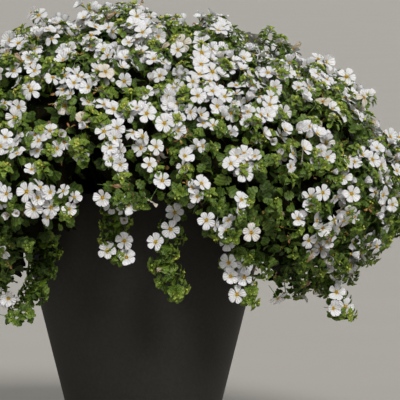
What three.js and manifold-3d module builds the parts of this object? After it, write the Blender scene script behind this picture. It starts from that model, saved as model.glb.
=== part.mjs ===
// Potted bacopa: a trailing plant with small white flowers, in a tapered round planter.
// Millimetres, +Z up. The origin is the centre of the pot's underside, and the plant is seen from -Y.
// The mound is made of leafy heads, each on its own stem, and longer stems trail over the rim.

import * as THREE from 'three';
import { ConvexGeometry } from 'three/addons/geometries/ConvexGeometry.js';
import { mergeVertices } from 'three/addons/utils/BufferGeometryUtils.js';
import Module from 'manifold-3d';

const wasm = await Module();
wasm.setup();

// Pot and soil
const RIM_R = 150;
const RIM_Z = 290;
const TAPER = 0.25; // radius gained for each unit of height
const WALL = 7;
const FLOOR = 8;
const EDGE = 2; // softened rim and foot
const POT_SIDES = 32;
const DRAIN_R = 6;
const DRAIN_RING = 40; // drain holes lie on this radius, so the middle of the foot stays whole
const DRAINS = 3;
const DRAIN_SIDES = 8;
const DRAIN_CUT = 4 * FLOOR; // right through the floor
const SOIL_Z = 264;
const SOIL_BUMP = 2;
const SOIL_WAVE_X = 17;
const SOIL_WAVE_Y = 13;
const SOIL_SIDES = 20;
const SOIL_RING = 0.7; // part of the soil's radius where its top has a ring of points
const GAP = 0.3; // between pieces that rest on each other
const SLIVER = 0.1; // finer detail than this is dropped

// Mound: half of an ellipsoid over the rim, and a shallower half that hangs below it
const MOUND_WIDE = 300;
const MOUND_DEEP = 256;
const MOUND_HIGH = 205;
const MOUND_LEAN = 0.00037; // part of that height lost for each millimetre to the right
const MOUND_DROP = 150;

// Rings of heads: how many, angle from straight up, first azimuth, and where their stems stand in the soil
const HEAD_RINGS = [
  { count: 1, polar: 0, first: 0, stemRing: 0 },
  { count: 5, polar: 37, first: -90, stemRing: 38 },
  { count: 8, polar: 69, first: -90, stemRing: 74 },
  { count: 8, polar: 104, first: -90, stemRing: 106 },
];
// The last ring has no head at its first azimuth, where stems trail down the pot. That open place lies some
// degrees lower, so that the head over it hangs lower.
const OPEN_RING = 3;
const OPEN_LOWER = 16;
const HEAD_REACH = 125; // how far a head may spread from its middle
const HEM_Z = RIM_Z - 90; // heads grow no lower
const CELL_MARGIN = 0.5; // kept from the plane halfway to the next head

// Core of a head: points over its face and round its rim, at depths under the mound's surface
const CORE_FACE = 14;
const CORE_RIM = 14;
const CORE_DEPTH = 21;
const CORE_RIM_DEPTH = 24;
const CORE_CRUMPLE = 7; // up and down, so that the face is as uneven as close leaves
const CORE_DEEP = 54;
const CORE_INSET = 1.5;

// Stems
const STEM_R = 3.4;
const STEM_TIP_R = 2.4;
const STEM_SUNK = 12; // in the soil
const STEM_SIDES = 3;
const STEM_STEPS = 3;
const STEM_INTO_CORE = 14;
const OVER_RIM = 22; // height of a stem over the rim where it crosses it
const BEND_OUT = 0.45; // how far out, and how far up, a head's stem bends
const BEND_UP = 0.77;

// Flowers: five round petals, drawn larger than life so that they cover the mound as the real ones do
const BLOOM_R = 20;
const PETALS = 5;
const NOTCH = 0.46; // how far in the gap between two petals reaches
const SHOULDER = 15; // degrees from a petal's middle to its corners
const BLOOM_DISH = 1.6;
const PETAL_CURL = 1.2;
const BLOOM_DEPTH = 3; // under the mound's surface
const BLOOM_STEP = 33; // between flowers that touch petal to petal
const FIRST_STEP = 11; // from a head's middle to its first flower
const BLOOM_APART = 39; // between flowers that don't
const BLOOM_TILT = 0.09;
const BLOOM_STALK = 30; // longest
const BLOOM_OFF_CORE = 0.4;
const BLOOMS_PER_HEAD = 8;
const BLOOM_TRIES = 300;
const JOINED = 6; // cubic millimetres that touching flowers share

// Leafy tips: two crossed pairs of toothed leaves on a short stalk
const TUFT_SIZES = [30, 26, 22, 18];
const TUFT_DEPTHS = [1, 8]; // between the flowers, or under their petals
const TUFT_CUP = 8; // from the stalk's top to the leaf edges
const TUFT_DISH = 3;
const TUFT_DROOP = 2.5;
const TUFT_STALK_R = 1.9;
const TUFT_SUNK = 5;
const TUFT_SPREAD = 14;
const TUFT_STEP = 33;
const TUFT_TRIES = 44;
const TUFT_TURNS = 4;
const TUFT_CLEAR = 0.6;
const TUFTS_PER_HEAD = 6;
// Each leaf's outline: degrees from its middle, part of the tuft's size, and part of its droop.
const LEAVES = 4;
const LEAF_OUTLINE = [[-45, 0.4, 0], [-17, 0.97, 1], [17, 0.97, 1]];

// Trailing stems: azimuth of the stem in the soil, azimuth that its flowers face, and its route after the rim
// as x, y and height over the rim. Flowers give a side step and a height, tufts a height, a turn and a size.
const TRAIL_SOIL_R = 119;
const TRAIL_BLOOM_R = 14.5;
const STALK_R = 0.9; // of the thin stalk that joins its flowers along its front
const STALK_OUT = 3.45; // from the stem's middle to that stalk's, about a gap clear of the stem's flat
const TRAIL_BLOOM_LIFT = 0.15; // part that the flowers look up
const TRAIL_TUFT_DROOP = 0.35;
const TRAIL_BLOOM_OUT = 12;
const TRAIL_TUFT_OUT = 15;
const TRAIL_ROOM = 24; // kept free at each side of its flowers
const TRAIL_STEPS = 7;
const FALLS_FROM = 2; // the step after which it has crossed the rim
const TRAIL_SIDES = 4;
const TRAILS = [
  {
    name: 'a', soil: -102, faces: -90,
    route: [[-27, -184, 2], [-28, -192, -20], [-28, -192, -48], [-27, -190, -70]],
    blooms: [[10, 2], [-6, -14], [9, -31], [7, -54], [-10, -67]],
    tufts: [[-24, -80, 14], [-44, 100, 14], [-40, -100, 15], [-60, 70, 14], [-70, -20, 17]],
  },
  {
    name: 'b', soil: -70, faces: -90,
    route: [[46, -184, 2], [38, -194, -28], [24, -195, -60], [28, -193, -88], [40, -190, -112]],
    blooms: [[8, -10], [-4, -26], [4, -46], [-8, -62]],
    tufts: [
      [-30, 80, 15], [-50, -90, 15], [-76, 60, 16], [-78, -60, 16],
      [-98, -50, 15], [-100, 60, 15], [-112, 0, 18],
    ],
  },
  {
    name: 'c', soil: -53, faces: -84,
    route: [[94, -164, 2], [98, -171, -40], [106, -172, -84], [115, -170, -122]],
    blooms: [[-10, -30], [-4, -54], [-7, -78], [12, -86], [-4, -101], [1, -122]],
    tufts: [
      [-20, 70, 15], [-42, 80, 16], [-62, 90, 15], [-66, -90, 14],
      [-96, 100, 15], [-118, -70, 14], [-122, 40, 18],
    ],
  },
  {
    name: 'd', soil: -15, faces: -60,
    route: [[168, -56, 2], [174, -64, -44], [202, -84, -88], [222, -96, -134]],
    blooms: [[10, -92], [-8, -108], [8, -126], [-6, -142]],
    tufts: [[-78, 110, 16], [-104, 90, 16], [-112, -90, 16], [-132, 20, 19]],
  },
  {
    name: 'e', soil: -130, faces: -112,
    route: [[-110, -134, 2], [-107, -132, -56], [-112, -139, -96], [-138, -150, -136]],
    blooms: [[-10, -104], [2, -124]],
    tufts: [[-100, 80, 16], [-112, -90, 16], [-122, 80, 16], [-134, 0, 19]],
  },
  {
    name: 'f', soil: 70, faces: 75,
    route: [[58, 160, 2], [58, 160, -70], [64, 174, -112], [72, 184, -152]],
    blooms: [[8, -102], [-8, -122], [8, -143]],
    tufts: [[-112, -90, 16], [-118, 90, 16], [-136, -80, 16], [-152, 0, 19]],
  },
  {
    name: 'g', soil: 115, faces: 110,
    route: [[-78, 170, 4], [-84, 178, -60], [-88, 180, -144]],
    blooms: [[-8, -90], [8, -108], [-8, -126], [8, -144]],
    tufts: [[-84, 80, 15], [-98, -80, 16], [-118, 90, 15], [-130, -70, 15], [-144, 0, 18]],
  },
];

const POT_FINISH = { color: 0x2b2825, roughness: 0.8, metalness: 0 };
const SOIL_FINISH = { color: 0x2a2019, roughness: 0.95, metalness: 0 };
const LEAF_FINISH = { color: 0x4f7a24, roughness: 0.6, metalness: 0 };
const PETAL_FINISH = { color: 0xf4f3ee, roughness: 0.55, metalness: 0 };

const TURN = 2 * Math.PI;
const GOLDEN_TURN = THREE.MathUtils.degToRad(137.5);
const UP = new THREE.Vector3(0, 0, 1);
const { degToRad } = THREE.MathUtils;

// A repeatable draw from 0 to 1: the first number is the thing it is for, the second which draw of that thing.
function chance(a, b) {
  const wave = Math.sin(a * 12.9898 + b * 78.233) * 43758.5453;
  return wave - Math.floor(wave);
}

// A closed geometry as a solid, with its faces turned outwards.
function solid(geometry) {
  const bare = new THREE.BufferGeometry();
  bare.setAttribute('position', geometry.getAttribute('position').clone());
  bare.setIndex(geometry.index);
  const merged = mergeVertices(bare, 1e-4);
  const { array } = merged.getAttribute('position');
  const corner = (i) => new THREE.Vector3().fromArray(array, 3 * i);
  const triangles = [];
  let volume = 0;
  for (let i = 0; i < merged.index.count; i += 3) {
    const [a, b, c] = [0, 1, 2].map((k) => merged.index.getX(i + k));
    if (a === b || b === c || c === a) continue;
    triangles.push(a, b, c);
    volume += corner(a).cross(corner(b)).dot(corner(c));
  }
  if (volume < 0) triangles.reverse();
  const mesh = new wasm.Mesh({ numProp: 3, vertProperties: array, triVerts: Uint32Array.from(triangles) });
  return new wasm.Manifold(mesh);
}

// A solid as a named part, without the slivers that joining leaves.
function part(name, body, finish) {
  const mesh = body.asOriginal().simplify(SLIVER).getMesh();
  const geometry = new THREE.BufferGeometry();
  geometry.setAttribute('position', new THREE.Float32BufferAttribute(mesh.vertProperties, 3));
  geometry.setIndex(Array.from(mesh.triVerts));
  geometry.computeVertexNormals();
  const made = new THREE.Mesh(geometry, new THREE.MeshStandardMaterial(finish));
  made.name = name;
  return made;
}

function touches(a, b) {
  return a.intersect(b).volume() > 0;
}

// The largest of the loose bodies that a solid may fall into.
function largest(body) {
  return body.decompose().sort((a, b) => b.volume() - a.volume())[0];
}

// Triangles between two rings of points, where the second has a whole multiple of the first's points.
function band(a, b) {
  const each = b.length / a.length;
  const before = Math.floor(each / 2);
  const after = each - before;
  const at = (ring, i) => ring[(i + ring.length) % ring.length];
  const triangles = [];
  a.forEach((point, i) => {
    for (let k = -before; k < after; k++) triangles.push(point, at(b, i * each + k + 1), at(b, i * each + k));
    if (a.length > 1) triangles.push(point, at(a, i + 1), at(b, i * each + after));
  });
  return triangles;
}

// A flat or nearly flat end on a ring.
function cap(ring) {
  const triangles = [];
  for (let i = 1; i + 1 < ring.length; i++) triangles.push(ring[0], ring[i], ring[i + 1]);
  return triangles;
}

// A closed solid through rings of points. The last ring closes to a single point if close is given.
function loft(rings, close) {
  const last = rings[rings.length - 1];
  const triangles = cap(rings[0]).reverse();
  rings.slice(1).forEach((ring, i) => triangles.push(...band(rings[i], ring)));
  if (close) last.forEach((point, i) => triangles.push(point, last[(i + 1) % last.length], close));
  else triangles.push(...cap(last));
  return solid(new THREE.BufferGeometry().setFromPoints(triangles));
}

// Two directions square to the first, the second of them as near as can be to a guide.
function squareTo(axis, guide) {
  const side = guide.clone().addScaledVector(axis, -guide.dot(axis)).normalize();
  return [side, axis.clone().cross(side)];
}

// Points round an axis: each spot is an angle in radians, a radius and a lift along the axis.
function ringAt(centre, axis, guide, spots) {
  const [u, v] = squareTo(axis, guide);
  return spots.map(([angle, radius, lift]) => centre.clone()
    .addScaledVector(u, radius * Math.cos(angle))
    .addScaledVector(v, radius * Math.sin(angle))
    .addScaledVector(axis, lift));
}

function evenSpots(count, radius) {
  return Array.from({ length: count }, (_, i) => [((i + 0.5) * TURN) / count, radius, 0]);
}

// The mound's height over the rim, at a distance to the right of the pot's axis.
function moundHigh(x) {
  return MOUND_HIGH * (1 - MOUND_LEAN * x);
}

// The point of the mound that a ray from the rim's middle meets, and the mound's direction outwards there.
function onMound(towards) {
  const high = towards.z > RIM_Z ? moundHigh(towards.x) : MOUND_DROP;
  const axes = new THREE.Vector3(MOUND_WIDE, MOUND_DEEP, high);
  const arm = towards.clone().setZ(towards.z - RIM_Z);
  const point = arm.divideScalar(arm.clone().divide(axes).length());
  const outwards = point.clone().divide(axes).divide(axes).normalize();
  return { point: point.setZ(point.z + RIM_Z), outwards };
}

// A place on a head, stepped u and v from its middle and sunk under the mound's surface.
function onHead(head, u, v, depth) {
  const spot = onMound(head.middle.clone().addScaledVector(head.across, u).addScaledVector(head.along, v));
  spot.point.addScaledVector(spot.outwards, -depth);
  return spot;
}

function makeHeads() {
  const heads = [];
  HEAD_RINGS.forEach(({ count, polar, first, stemRing }, ring) => {
    for (let i = 0; i < count; i++) {
      const azimuth = first + (i * 360) / count;
      const open = ring === OPEN_RING && i === 0;
      const [p, a] = [degToRad(open ? polar + OPEN_LOWER : polar), degToRad(azimuth)];
      const [x, y] = [MOUND_WIDE * Math.sin(p) * Math.cos(a), MOUND_DEEP * Math.sin(p) * Math.sin(a)];
      const high = polar < 90 ? moundHigh(x) : MOUND_DROP;
      const middle = new THREE.Vector3(x, y, RIM_Z + high * Math.cos(p));
      const { outwards } = onMound(middle);
      const guide = new THREE.Vector3(-Math.sin(a), Math.cos(a), 0);
      const [across, along] = squareTo(outwards, guide);
      const number = 1 + heads.filter((head) => !head.open).length;
      heads.push({ number, open, middle, across, along, guide, azimuth, ring, stemRing });
    }
  });
  return heads;
}

const heads = makeHeads();

// True where a point is on a head's own side of the planes halfway to the other heads.
function inCell(head, point, margin) {
  return heads.every((other) => {
    if (other === head) return true;
    const apart = head.middle.clone().sub(other.middle);
    const halfway = head.middle.clone().add(other.middle).multiplyScalar(0.5);
    return point.clone().sub(halfway).dot(apart) >= margin * apart.length();
  });
}

// True where a point would hide the flowers of a trailing stem.
function hidesTrail(point) {
  return trails.some(({ falling, outwards, top }) => {
    if (point.z > top) return false;
    const arm = point.clone().sub(routePoint(falling, point.z));
    const ahead = arm.dot(outwards);
    return ahead > -BLOOM_R && arm.addScaledVector(outwards, -ahead).length() < TRAIL_ROOM;
  });
}

function hasRoom(head, point, margin) {
  return point.z > HEM_Z && inCell(head, point, margin) && !hidesTrail(point);
}

// The smaller core of a dense head, which the leaves and flowers stand out of.
function makeCore(head) {
  const reachAt = (angle) => {
    let reach = HEAD_REACH;
    const at = () => onHead(head, reach * Math.cos(angle), reach * Math.sin(angle), CORE_RIM_DEPTH).point;
    while (!hasRoom(head, at(), CORE_INSET)) reach -= 1;
    return reach;
  };
  const spots = [{ reach: 0, angle: 0, depth: CORE_DEEP, crumple: 0 }];
  for (let i = 0; i < CORE_RIM; i++) {
    const angle = (i * TURN) / CORE_RIM;
    spots.push({ reach: reachAt(angle), angle, depth: CORE_RIM_DEPTH, crumple: 0 });
  }
  for (let i = 0; i < CORE_FACE; i++) {
    const angle = i * GOLDEN_TURN;
    const reach = reachAt(angle) * Math.sqrt((i + 0.5) / (CORE_FACE + 2));
    spots.push({ reach, angle, depth: CORE_DEPTH, crumple: i % 2 ? CORE_CRUMPLE : -CORE_CRUMPLE });
  }
  const place = ({ reach, angle, depth }, more) => (
    onHead(head, reach * Math.cos(angle), reach * Math.sin(angle), depth + more).point
  );
  const smooth = spots.map((spot) => place(spot, 0));
  const hull = new ConvexGeometry(smooth);
  const corners = hull.getAttribute('position');
  for (let i = 0; i < corners.count; i++) {
    const corner = new THREE.Vector3().fromBufferAttribute(corners, i);
    const spot = spots[smooth.findIndex((point) => point.distanceTo(corner) < GAP)];
    corners.setXYZ(i, ...place(spot, spot.crumple));
  }
  return new THREE.Mesh(hull);
}

const ray = new THREE.Raycaster();

// How far a core lies from a point along a direction, or no number where it isn't met.
function distanceTo(core, point, heading) {
  ray.set(point, heading);
  const [hit] = ray.intersectObject(core);
  return hit ? hit.distance : NaN;
}

// A stem with square ends that thins from its foot to its tip. Its first stretch is straight.
function makeStem(points, guide, sides) {
  const rings = points.map((point, i) => {
    const [before, after] = [points[Math.max(i - 1, 0)], points[Math.min(i + 1, points.length - 1)]];
    const axis = i === 1 ? UP.clone() : after.clone().sub(before).normalize();
    const thin = Math.max(0, (i - 1) / (points.length - 2));
    return ringAt(point, axis, guide, evenSpots(sides, THREE.MathUtils.lerp(STEM_R, STEM_TIP_R, thin)));
  });
  return loft(rings);
}

// The foot of a stem in the soil: its two ends, and the plain hole that it stands in.
function stemFoot(radius, azimuth, guide, sides) {
  const at = (z) => new THREE.Vector3(radius * Math.cos(azimuth), radius * Math.sin(azimuth), z);
  const [low, top] = [at(SOIL_Z - STEM_SUNK), at(SOIL_Z + 2 * SOIL_BUMP)];
  const spots = evenSpots(sides, STEM_R + 2 * GAP); // clear of the stem's flats and corners
  const ends = [low.clone().setZ(low.z - GAP), top.clone().setZ(top.z + EDGE)];
  return { low, top, hole: loft(ends.map((end) => ringAt(end, UP, guide, spots))) };
}

// One flower, on a cone whose tip comes down to what carries it.
function makeBloom(centre, outwards, guide, turn, tip, draw, size) {
  const spots = [];
  for (let petal = 0; petal < PETALS; petal++) {
    const middle = turn + (petal * TURN) / PETALS;
    const curl = PETAL_CURL * (2 * chance(draw, petal + 20) - 1);
    spots.push([middle - TURN / PETALS / 2, NOTCH * size, -BLOOM_DISH / 2]);
    spots.push([middle - degToRad(SHOULDER), size, curl]);
    spots.push([middle + degToRad(SHOULDER), size, curl]);
  }
  const edge = ringAt(centre, outwards, guide, spots);
  return { edge, body: loft([[tip], edge], centre.clone().addScaledVector(outwards, -BLOOM_DISH)) };
}

// One leafy tip, with its stalk sunk into what carries it.
function makeTuft(foot, centre, outwards, guide, turn, size) {
  const leaves = [];
  for (let leaf = 0; leaf < LEAVES; leaf++) {
    LEAF_OUTLINE.forEach(([degrees, reach, droop]) => {
      leaves.push([turn + (leaf * TURN) / LEAVES + degToRad(degrees), reach * size, -droop * TUFT_DROOP]);
    });
  }
  const neck = centre.clone().addScaledVector(outwards, -TUFT_CUP);
  const stalk = evenSpots(LEAVES, TUFT_STALK_R);
  stalk.forEach((spot) => { spot[0] += turn - TURN / LEAVES / 2; });
  const edge = ringAt(centre, outwards, guide, leaves);
  const heart = centre.clone().addScaledVector(outwards, -TUFT_DISH);
  return { edge, body: loft([[foot], ringAt(neck, outwards, guide, stalk), edge], heart) };
}

function tilted(outwards, draw) {
  const lean = new THREE.Vector3(chance(draw, 11) - 0.5, chance(draw, 12) - 0.5, chance(draw, 13) - 0.5);
  return outwards.clone().addScaledVector(lean, 2 * BLOOM_TILT).normalize();
}

// The flowers of a head: they spread as a chain that branches, so that they hold together.
function growBlooms(head, core, avoid) {
  const grown = [];
  const coreSolid = solid(core.geometry);
  let cluster = null;
  for (let attempt = 0; attempt < BLOOM_TRIES && grown.length < BLOOMS_PER_HEAD; attempt++) {
    const draw = head.number * BLOOM_TRIES + attempt;
    const parent = grown[Math.floor(chance(draw, 1) * grown.length)];
    const petal = (Math.floor(PETALS * chance(draw, 2)) * TURN) / PETALS;
    const angle = parent ? parent.turn + petal : TURN * chance(draw, 3);
    const step = parent ? BLOOM_STEP : FIRST_STEP;
    const u = (parent?.u ?? 0) + step * Math.cos(angle);
    const v = (parent?.v ?? 0) + step * Math.sin(angle);
    const turn = angle + TURN / 2; // one petal meets the parent's
    const near = (other) => Math.hypot(other.u - u, other.v - v) < BLOOM_APART;
    if (grown.some((other) => other !== parent && near(other))) continue;
    const { point, outwards } = onHead(head, u, v, BLOOM_DEPTH);
    const axis = tilted(outwards, draw);
    const reach = distanceTo(core, point, axis.clone().negate());
    if (!(reach < BLOOM_STALK)) continue;
    const tip = point.clone().addScaledVector(axis, BLOOM_OFF_CORE - reach);
    const { edge, body } = makeBloom(point, axis, head.across, turn, tip, draw, BLOOM_R);
    if (!edge.every((corner) => hasRoom(head, corner, CELL_MARGIN))) continue;
    if (touches(body, coreSolid) || touches(body, avoid)) continue;
    if (cluster && cluster.intersect(body).volume() < JOINED) continue;
    cluster = cluster ? cluster.add(body) : body;
    grown.push({ u, v, turn });
  }
  return cluster;
}

// Sizes, depths and turns that a tuft may take, the largest and highest first.
const TUFT_CHOICES = TUFT_SIZES.flatMap((size) => TUFT_DEPTHS.flatMap((depth) => (
  Array.from({ length: TUFT_TURNS }, (_, i) => [size, depth, (i * TURN) / TUFT_TURNS / LEAVES])
)));

// The leafy tips of a head, spread like seeds in a seed head and left out where a flower is in the way.
function growTufts(head, core, avoid) {
  const grown = [];
  const bodies = [];
  for (let attempt = 0; attempt < TUFT_TRIES && grown.length < TUFTS_PER_HEAD; attempt++) {
    const radius = TUFT_SPREAD * Math.sqrt(attempt + 0.5);
    const angle = GOLDEN_TURN * attempt + head.number;
    const [u, v] = [radius * Math.cos(angle), radius * Math.sin(angle)];
    if (grown.some((other) => Math.hypot(other.u - u, other.v - v) < TUFT_STEP)) continue;
    const { point, outwards } = onHead(head, u, v, 0);
    const reach = distanceTo(core, point, outwards.clone().negate());
    if (!(reach < BLOOM_STALK + TUFT_CUP)) continue;
    const foot = point.clone().addScaledVector(outwards, -reach - TUFT_SUNK);
    const grow = ([size, depth, turn], clear) => (
      makeTuft(foot, point.clone().addScaledVector(outwards, -depth), outwards, head.across, turn, size + clear)
    );
    const fits = TUFT_CHOICES.find((choice) => {
      const { edge, body } = grow(choice, TUFT_CLEAR);
      return edge.every((corner) => hasRoom(head, corner, CELL_MARGIN)) && !touches(body, avoid);
    });
    if (!fits) continue;
    bodies.push(grow(fits, 0).body);
    grown.push({ u, v });
  }
  return bodies;
}

// The stem of a head, from the soil to the middle of its core. The lowest ones cross the rim.
function makeHeadStem(head) {
  const azimuth = degToRad(head.azimuth);
  const foot = stemFoot(head.stemRing, azimuth, head.guide, STEM_SIDES);
  const end = onHead(head, 0, 0, CORE_DEEP - STEM_INTO_CORE).point;
  const overRim = head.ring === OPEN_RING;
  const bend = overRim
    ? new THREE.Vector3(RIM_R * Math.cos(azimuth), RIM_R * Math.sin(azimuth), RIM_Z + OVER_RIM)
    : new THREE.Vector3(
      THREE.MathUtils.lerp(foot.top.x, end.x, BEND_OUT),
      THREE.MathUtils.lerp(foot.top.y, end.y, BEND_OUT),
      THREE.MathUtils.lerp(foot.top.z, end.z, BEND_UP),
    );
  const curve = new THREE.CatmullRomCurve3([foot.top, bend, end], false, 'centripetal');
  const body = makeStem([foot.low, ...curve.getPoints(STEM_STEPS)], head.guide, STEM_SIDES);
  return { hole: foot.hole, body };
}

// A stem that trails over the rim, with its tufts and its flowers.
function makeTrail(trail) {
  const azimuth = degToRad(trail.soil);
  const faces = degToRad(trail.faces);
  const outwards = new THREE.Vector3(Math.cos(faces), Math.sin(faces), TRAIL_BLOOM_LIFT).normalize();
  const sideways = UP.clone().cross(outwards).normalize();
  const foot = stemFoot(TRAIL_SOIL_R, azimuth, sideways, TRAIL_SIDES);
  const overRim = new THREE.Vector3(RIM_R * Math.cos(azimuth), RIM_R * Math.sin(azimuth), RIM_Z + OVER_RIM);
  const hanging = trail.route.map(([x, y, height]) => new THREE.Vector3(x, y, RIM_Z + height));
  const curve = new THREE.CatmullRomCurve3([foot.top, overRim, ...hanging], false, 'centripetal');
  const points = curve.getSpacedPoints(TRAIL_STEPS);
  const stem = makeStem([foot.low, ...points], sideways, TRAIL_SIDES);

  const falling = points.slice(FALLS_FROM);
  const tips = trail.blooms.map(([, height]) => routePoint(falling, RIM_Z + height));
  const bends = falling.filter(({ z }) => z < tips[0].z && z > tips[tips.length - 1].z);
  const joints = [...tips, ...bends].sort((a, b) => b.z - a.z);
  const alongFront = joints.map((joint) => joint.clone().addScaledVector(outwards, STALK_OUT));
  const blooms = trail.blooms.map(([side], i) => {
    const centre = tips[i].clone().addScaledVector(outwards, TRAIL_BLOOM_OUT).addScaledVector(sideways, side);
    const tip = tips[i].clone().addScaledVector(outwards, STALK_OUT - STALK_R / 2);
    return makeBloom(centre, tilted(outwards, trail.soil + i), sideways, i, tip, i, TRAIL_BLOOM_R).body;
  });
  const stalk = loft(alongFront.map((point) => ringAt(point, UP, sideways, evenSpots(STEM_SIDES, STALK_R))));
  const chain = blooms.reduce((all, body) => all.add(body), stalk);

  let leafy = stem;
  trail.tufts.forEach(([height, turn, size]) => {
    const on = routePoint(falling, RIM_Z + height);
    const heading = outwards.clone().applyAxisAngle(UP, degToRad(turn));
    heading.addScaledVector(UP, -TRAIL_TUFT_DROOP).normalize();
    const centre = on.clone().addScaledVector(heading, TRAIL_TUFT_OUT);
    for (let i = 0; i < TUFT_TURNS; i++) {
      const spin = (i * TURN) / TUFT_TURNS / LEAVES;
      const grown = (clear) => makeTuft(on, centre, heading, UP, spin, size + clear).body;
      if (touches(grown(TUFT_CLEAR), chain)) continue;
      leafy = leafy.add(grown(0));
      break;
    }
  });
  const top = RIM_Z + trail.blooms[0][1] + BLOOM_R;
  return { name: trail.name, hole: foot.hole, leafy, chain, falling, outwards, top };
}

// The point of a falling route at a height.
function routePoint(route, z) {
  const next = route.findIndex((point) => point.z <= z);
  if (next < 1) return route[next < 0 ? route.length - 1 : 0].clone();
  const [above, below] = [route[next - 1], route[next]];
  return above.clone().lerp(below, (above.z - z) / (above.z - below.z));
}

function outerRadius(z) {
  return RIM_R - TAPER * (RIM_Z - z);
}

function innerRadius(z) {
  return outerRadius(z) - WALL;
}

function revolve(profile, sides) {
  const points = profile.map(([radius, z]) => new THREE.Vector2(radius, z));
  return new THREE.LatheGeometry(points, sides).rotateX(Math.PI / 2);
}

function makePot() {
  let pot = solid(revolve([
    [0, 0],
    [outerRadius(0) - EDGE, 0],
    [outerRadius(EDGE), EDGE],
    [outerRadius(RIM_Z - EDGE), RIM_Z - EDGE],
    [RIM_R - EDGE, RIM_Z],
    [RIM_R - WALL + EDGE / 2, RIM_Z],
    [innerRadius(RIM_Z - EDGE), RIM_Z - EDGE],
    [innerRadius(FLOOR + EDGE), FLOOR + EDGE],
    [innerRadius(FLOOR) - EDGE, FLOOR],
    [0, FLOOR],
  ], POT_SIDES));
  for (let i = 0; i < DRAINS; i++) {
    const angle = (i * TURN) / DRAINS;
    const drain = new THREE.CylinderGeometry(DRAIN_R, DRAIN_R, DRAIN_CUT, DRAIN_SIDES).rotateX(Math.PI / 2);
    drain.translate(DRAIN_RING * Math.cos(angle), DRAIN_RING * Math.sin(angle), 0);
    pot = pot.subtract(solid(drain));
  }
  return pot;
}

// The soil, with uneven top and a plain hole for each stem.
function makeSoil(holes) {
  const low = FLOOR + GAP;
  const side = (z) => innerRadius(z) * Math.cos(Math.PI / POT_SIDES) - GAP; // clear of the wall's flats
  const geometry = revolve([
    [0, low],
    [side(low) - 2 * EDGE, low],
    [side(low + 2 * EDGE), low + 2 * EDGE],
    [side(SOIL_Z - EDGE), SOIL_Z - EDGE],
    [side(SOIL_Z) * SOIL_RING, SOIL_Z],
    [0, SOIL_Z],
  ], SOIL_SIDES);
  const places = geometry.getAttribute('position');
  for (let i = 0; i < places.count; i++) {
    const [x, y, z] = [places.getX(i), places.getY(i), places.getZ(i)];
    const bump = Math.sin(x / SOIL_WAVE_X) * Math.cos(y / SOIL_WAVE_Y) * SOIL_BUMP;
    if (z > SOIL_Z - EDGE / 2) places.setZ(i, z + bump);
  }
  return holes.reduce((soil, hole) => soil.subtract(hole), solid(geometry));
}

const trails = TRAILS.map(makeTrail);
const trailing = trails.reduce((all, { leafy, chain }) => all.add(leafy).add(chain), trails[0].leafy);
const bacopa = new THREE.Group();
const holes = trails.map(({ hole }) => hole);

heads.filter((head) => !head.open).forEach((head) => {
  const core = makeCore(head);
  const stem = makeHeadStem(head);
  const blooms = growBlooms(head, core, trailing);
  const tufts = growTufts(head, core, blooms.add(trailing));
  const leafy = [stem.body, ...tufts].reduce((all, body) => all.add(body), solid(core.geometry));
  const number = String(head.number).padStart(2, '0');
  holes.push(stem.hole);
  bacopa.add(part(`leafy_head_${number}`, largest(leafy), LEAF_FINISH));
  bacopa.add(part(`head_blooms_${number}`, largest(blooms), PETAL_FINISH));
});

trails.forEach(({ name, leafy, chain }) => {
  bacopa.add(part(`trailing_stem_${name}`, largest(leafy), LEAF_FINISH));
  bacopa.add(part(`trail_blooms_${name}`, largest(chain), PETAL_FINISH));
});

bacopa.add(part('pot', makePot(), POT_FINISH));
bacopa.add(part('soil', makeSoil(holes), SOIL_FINISH));

export default bacopa;
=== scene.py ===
# Potted bacopa: the leaves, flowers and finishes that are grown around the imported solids.
# Metres, +Z up, seen from -Y. Each leafy head and each trailing stem of the solids gets one piece of
# leaves and one of flowers, in the place that its solid holds.

import math
import random

import bmesh
import bpy
import numpy as np
from mathutils import Matrix, Vector, kdtree, noise


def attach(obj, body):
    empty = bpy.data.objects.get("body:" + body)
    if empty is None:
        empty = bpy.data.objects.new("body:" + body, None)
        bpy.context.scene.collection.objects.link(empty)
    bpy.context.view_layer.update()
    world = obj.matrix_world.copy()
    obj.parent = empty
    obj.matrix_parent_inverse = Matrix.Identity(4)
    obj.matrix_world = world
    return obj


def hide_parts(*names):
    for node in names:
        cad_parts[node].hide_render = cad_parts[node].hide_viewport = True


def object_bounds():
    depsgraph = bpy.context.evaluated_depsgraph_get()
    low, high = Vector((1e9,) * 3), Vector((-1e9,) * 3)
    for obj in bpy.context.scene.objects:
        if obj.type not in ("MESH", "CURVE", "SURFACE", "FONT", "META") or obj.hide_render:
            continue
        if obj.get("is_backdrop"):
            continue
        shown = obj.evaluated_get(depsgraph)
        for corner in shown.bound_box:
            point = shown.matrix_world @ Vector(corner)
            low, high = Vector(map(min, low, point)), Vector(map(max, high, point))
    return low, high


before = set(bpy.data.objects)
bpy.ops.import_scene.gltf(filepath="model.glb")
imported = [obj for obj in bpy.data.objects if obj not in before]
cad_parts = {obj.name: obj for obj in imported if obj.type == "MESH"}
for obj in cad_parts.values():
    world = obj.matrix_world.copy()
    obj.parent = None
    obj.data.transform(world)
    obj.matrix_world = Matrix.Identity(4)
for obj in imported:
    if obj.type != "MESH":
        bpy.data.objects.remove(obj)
cad_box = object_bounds()

MM = 0.001
MERGE = 1e-6  # points nearer than this become one

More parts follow.
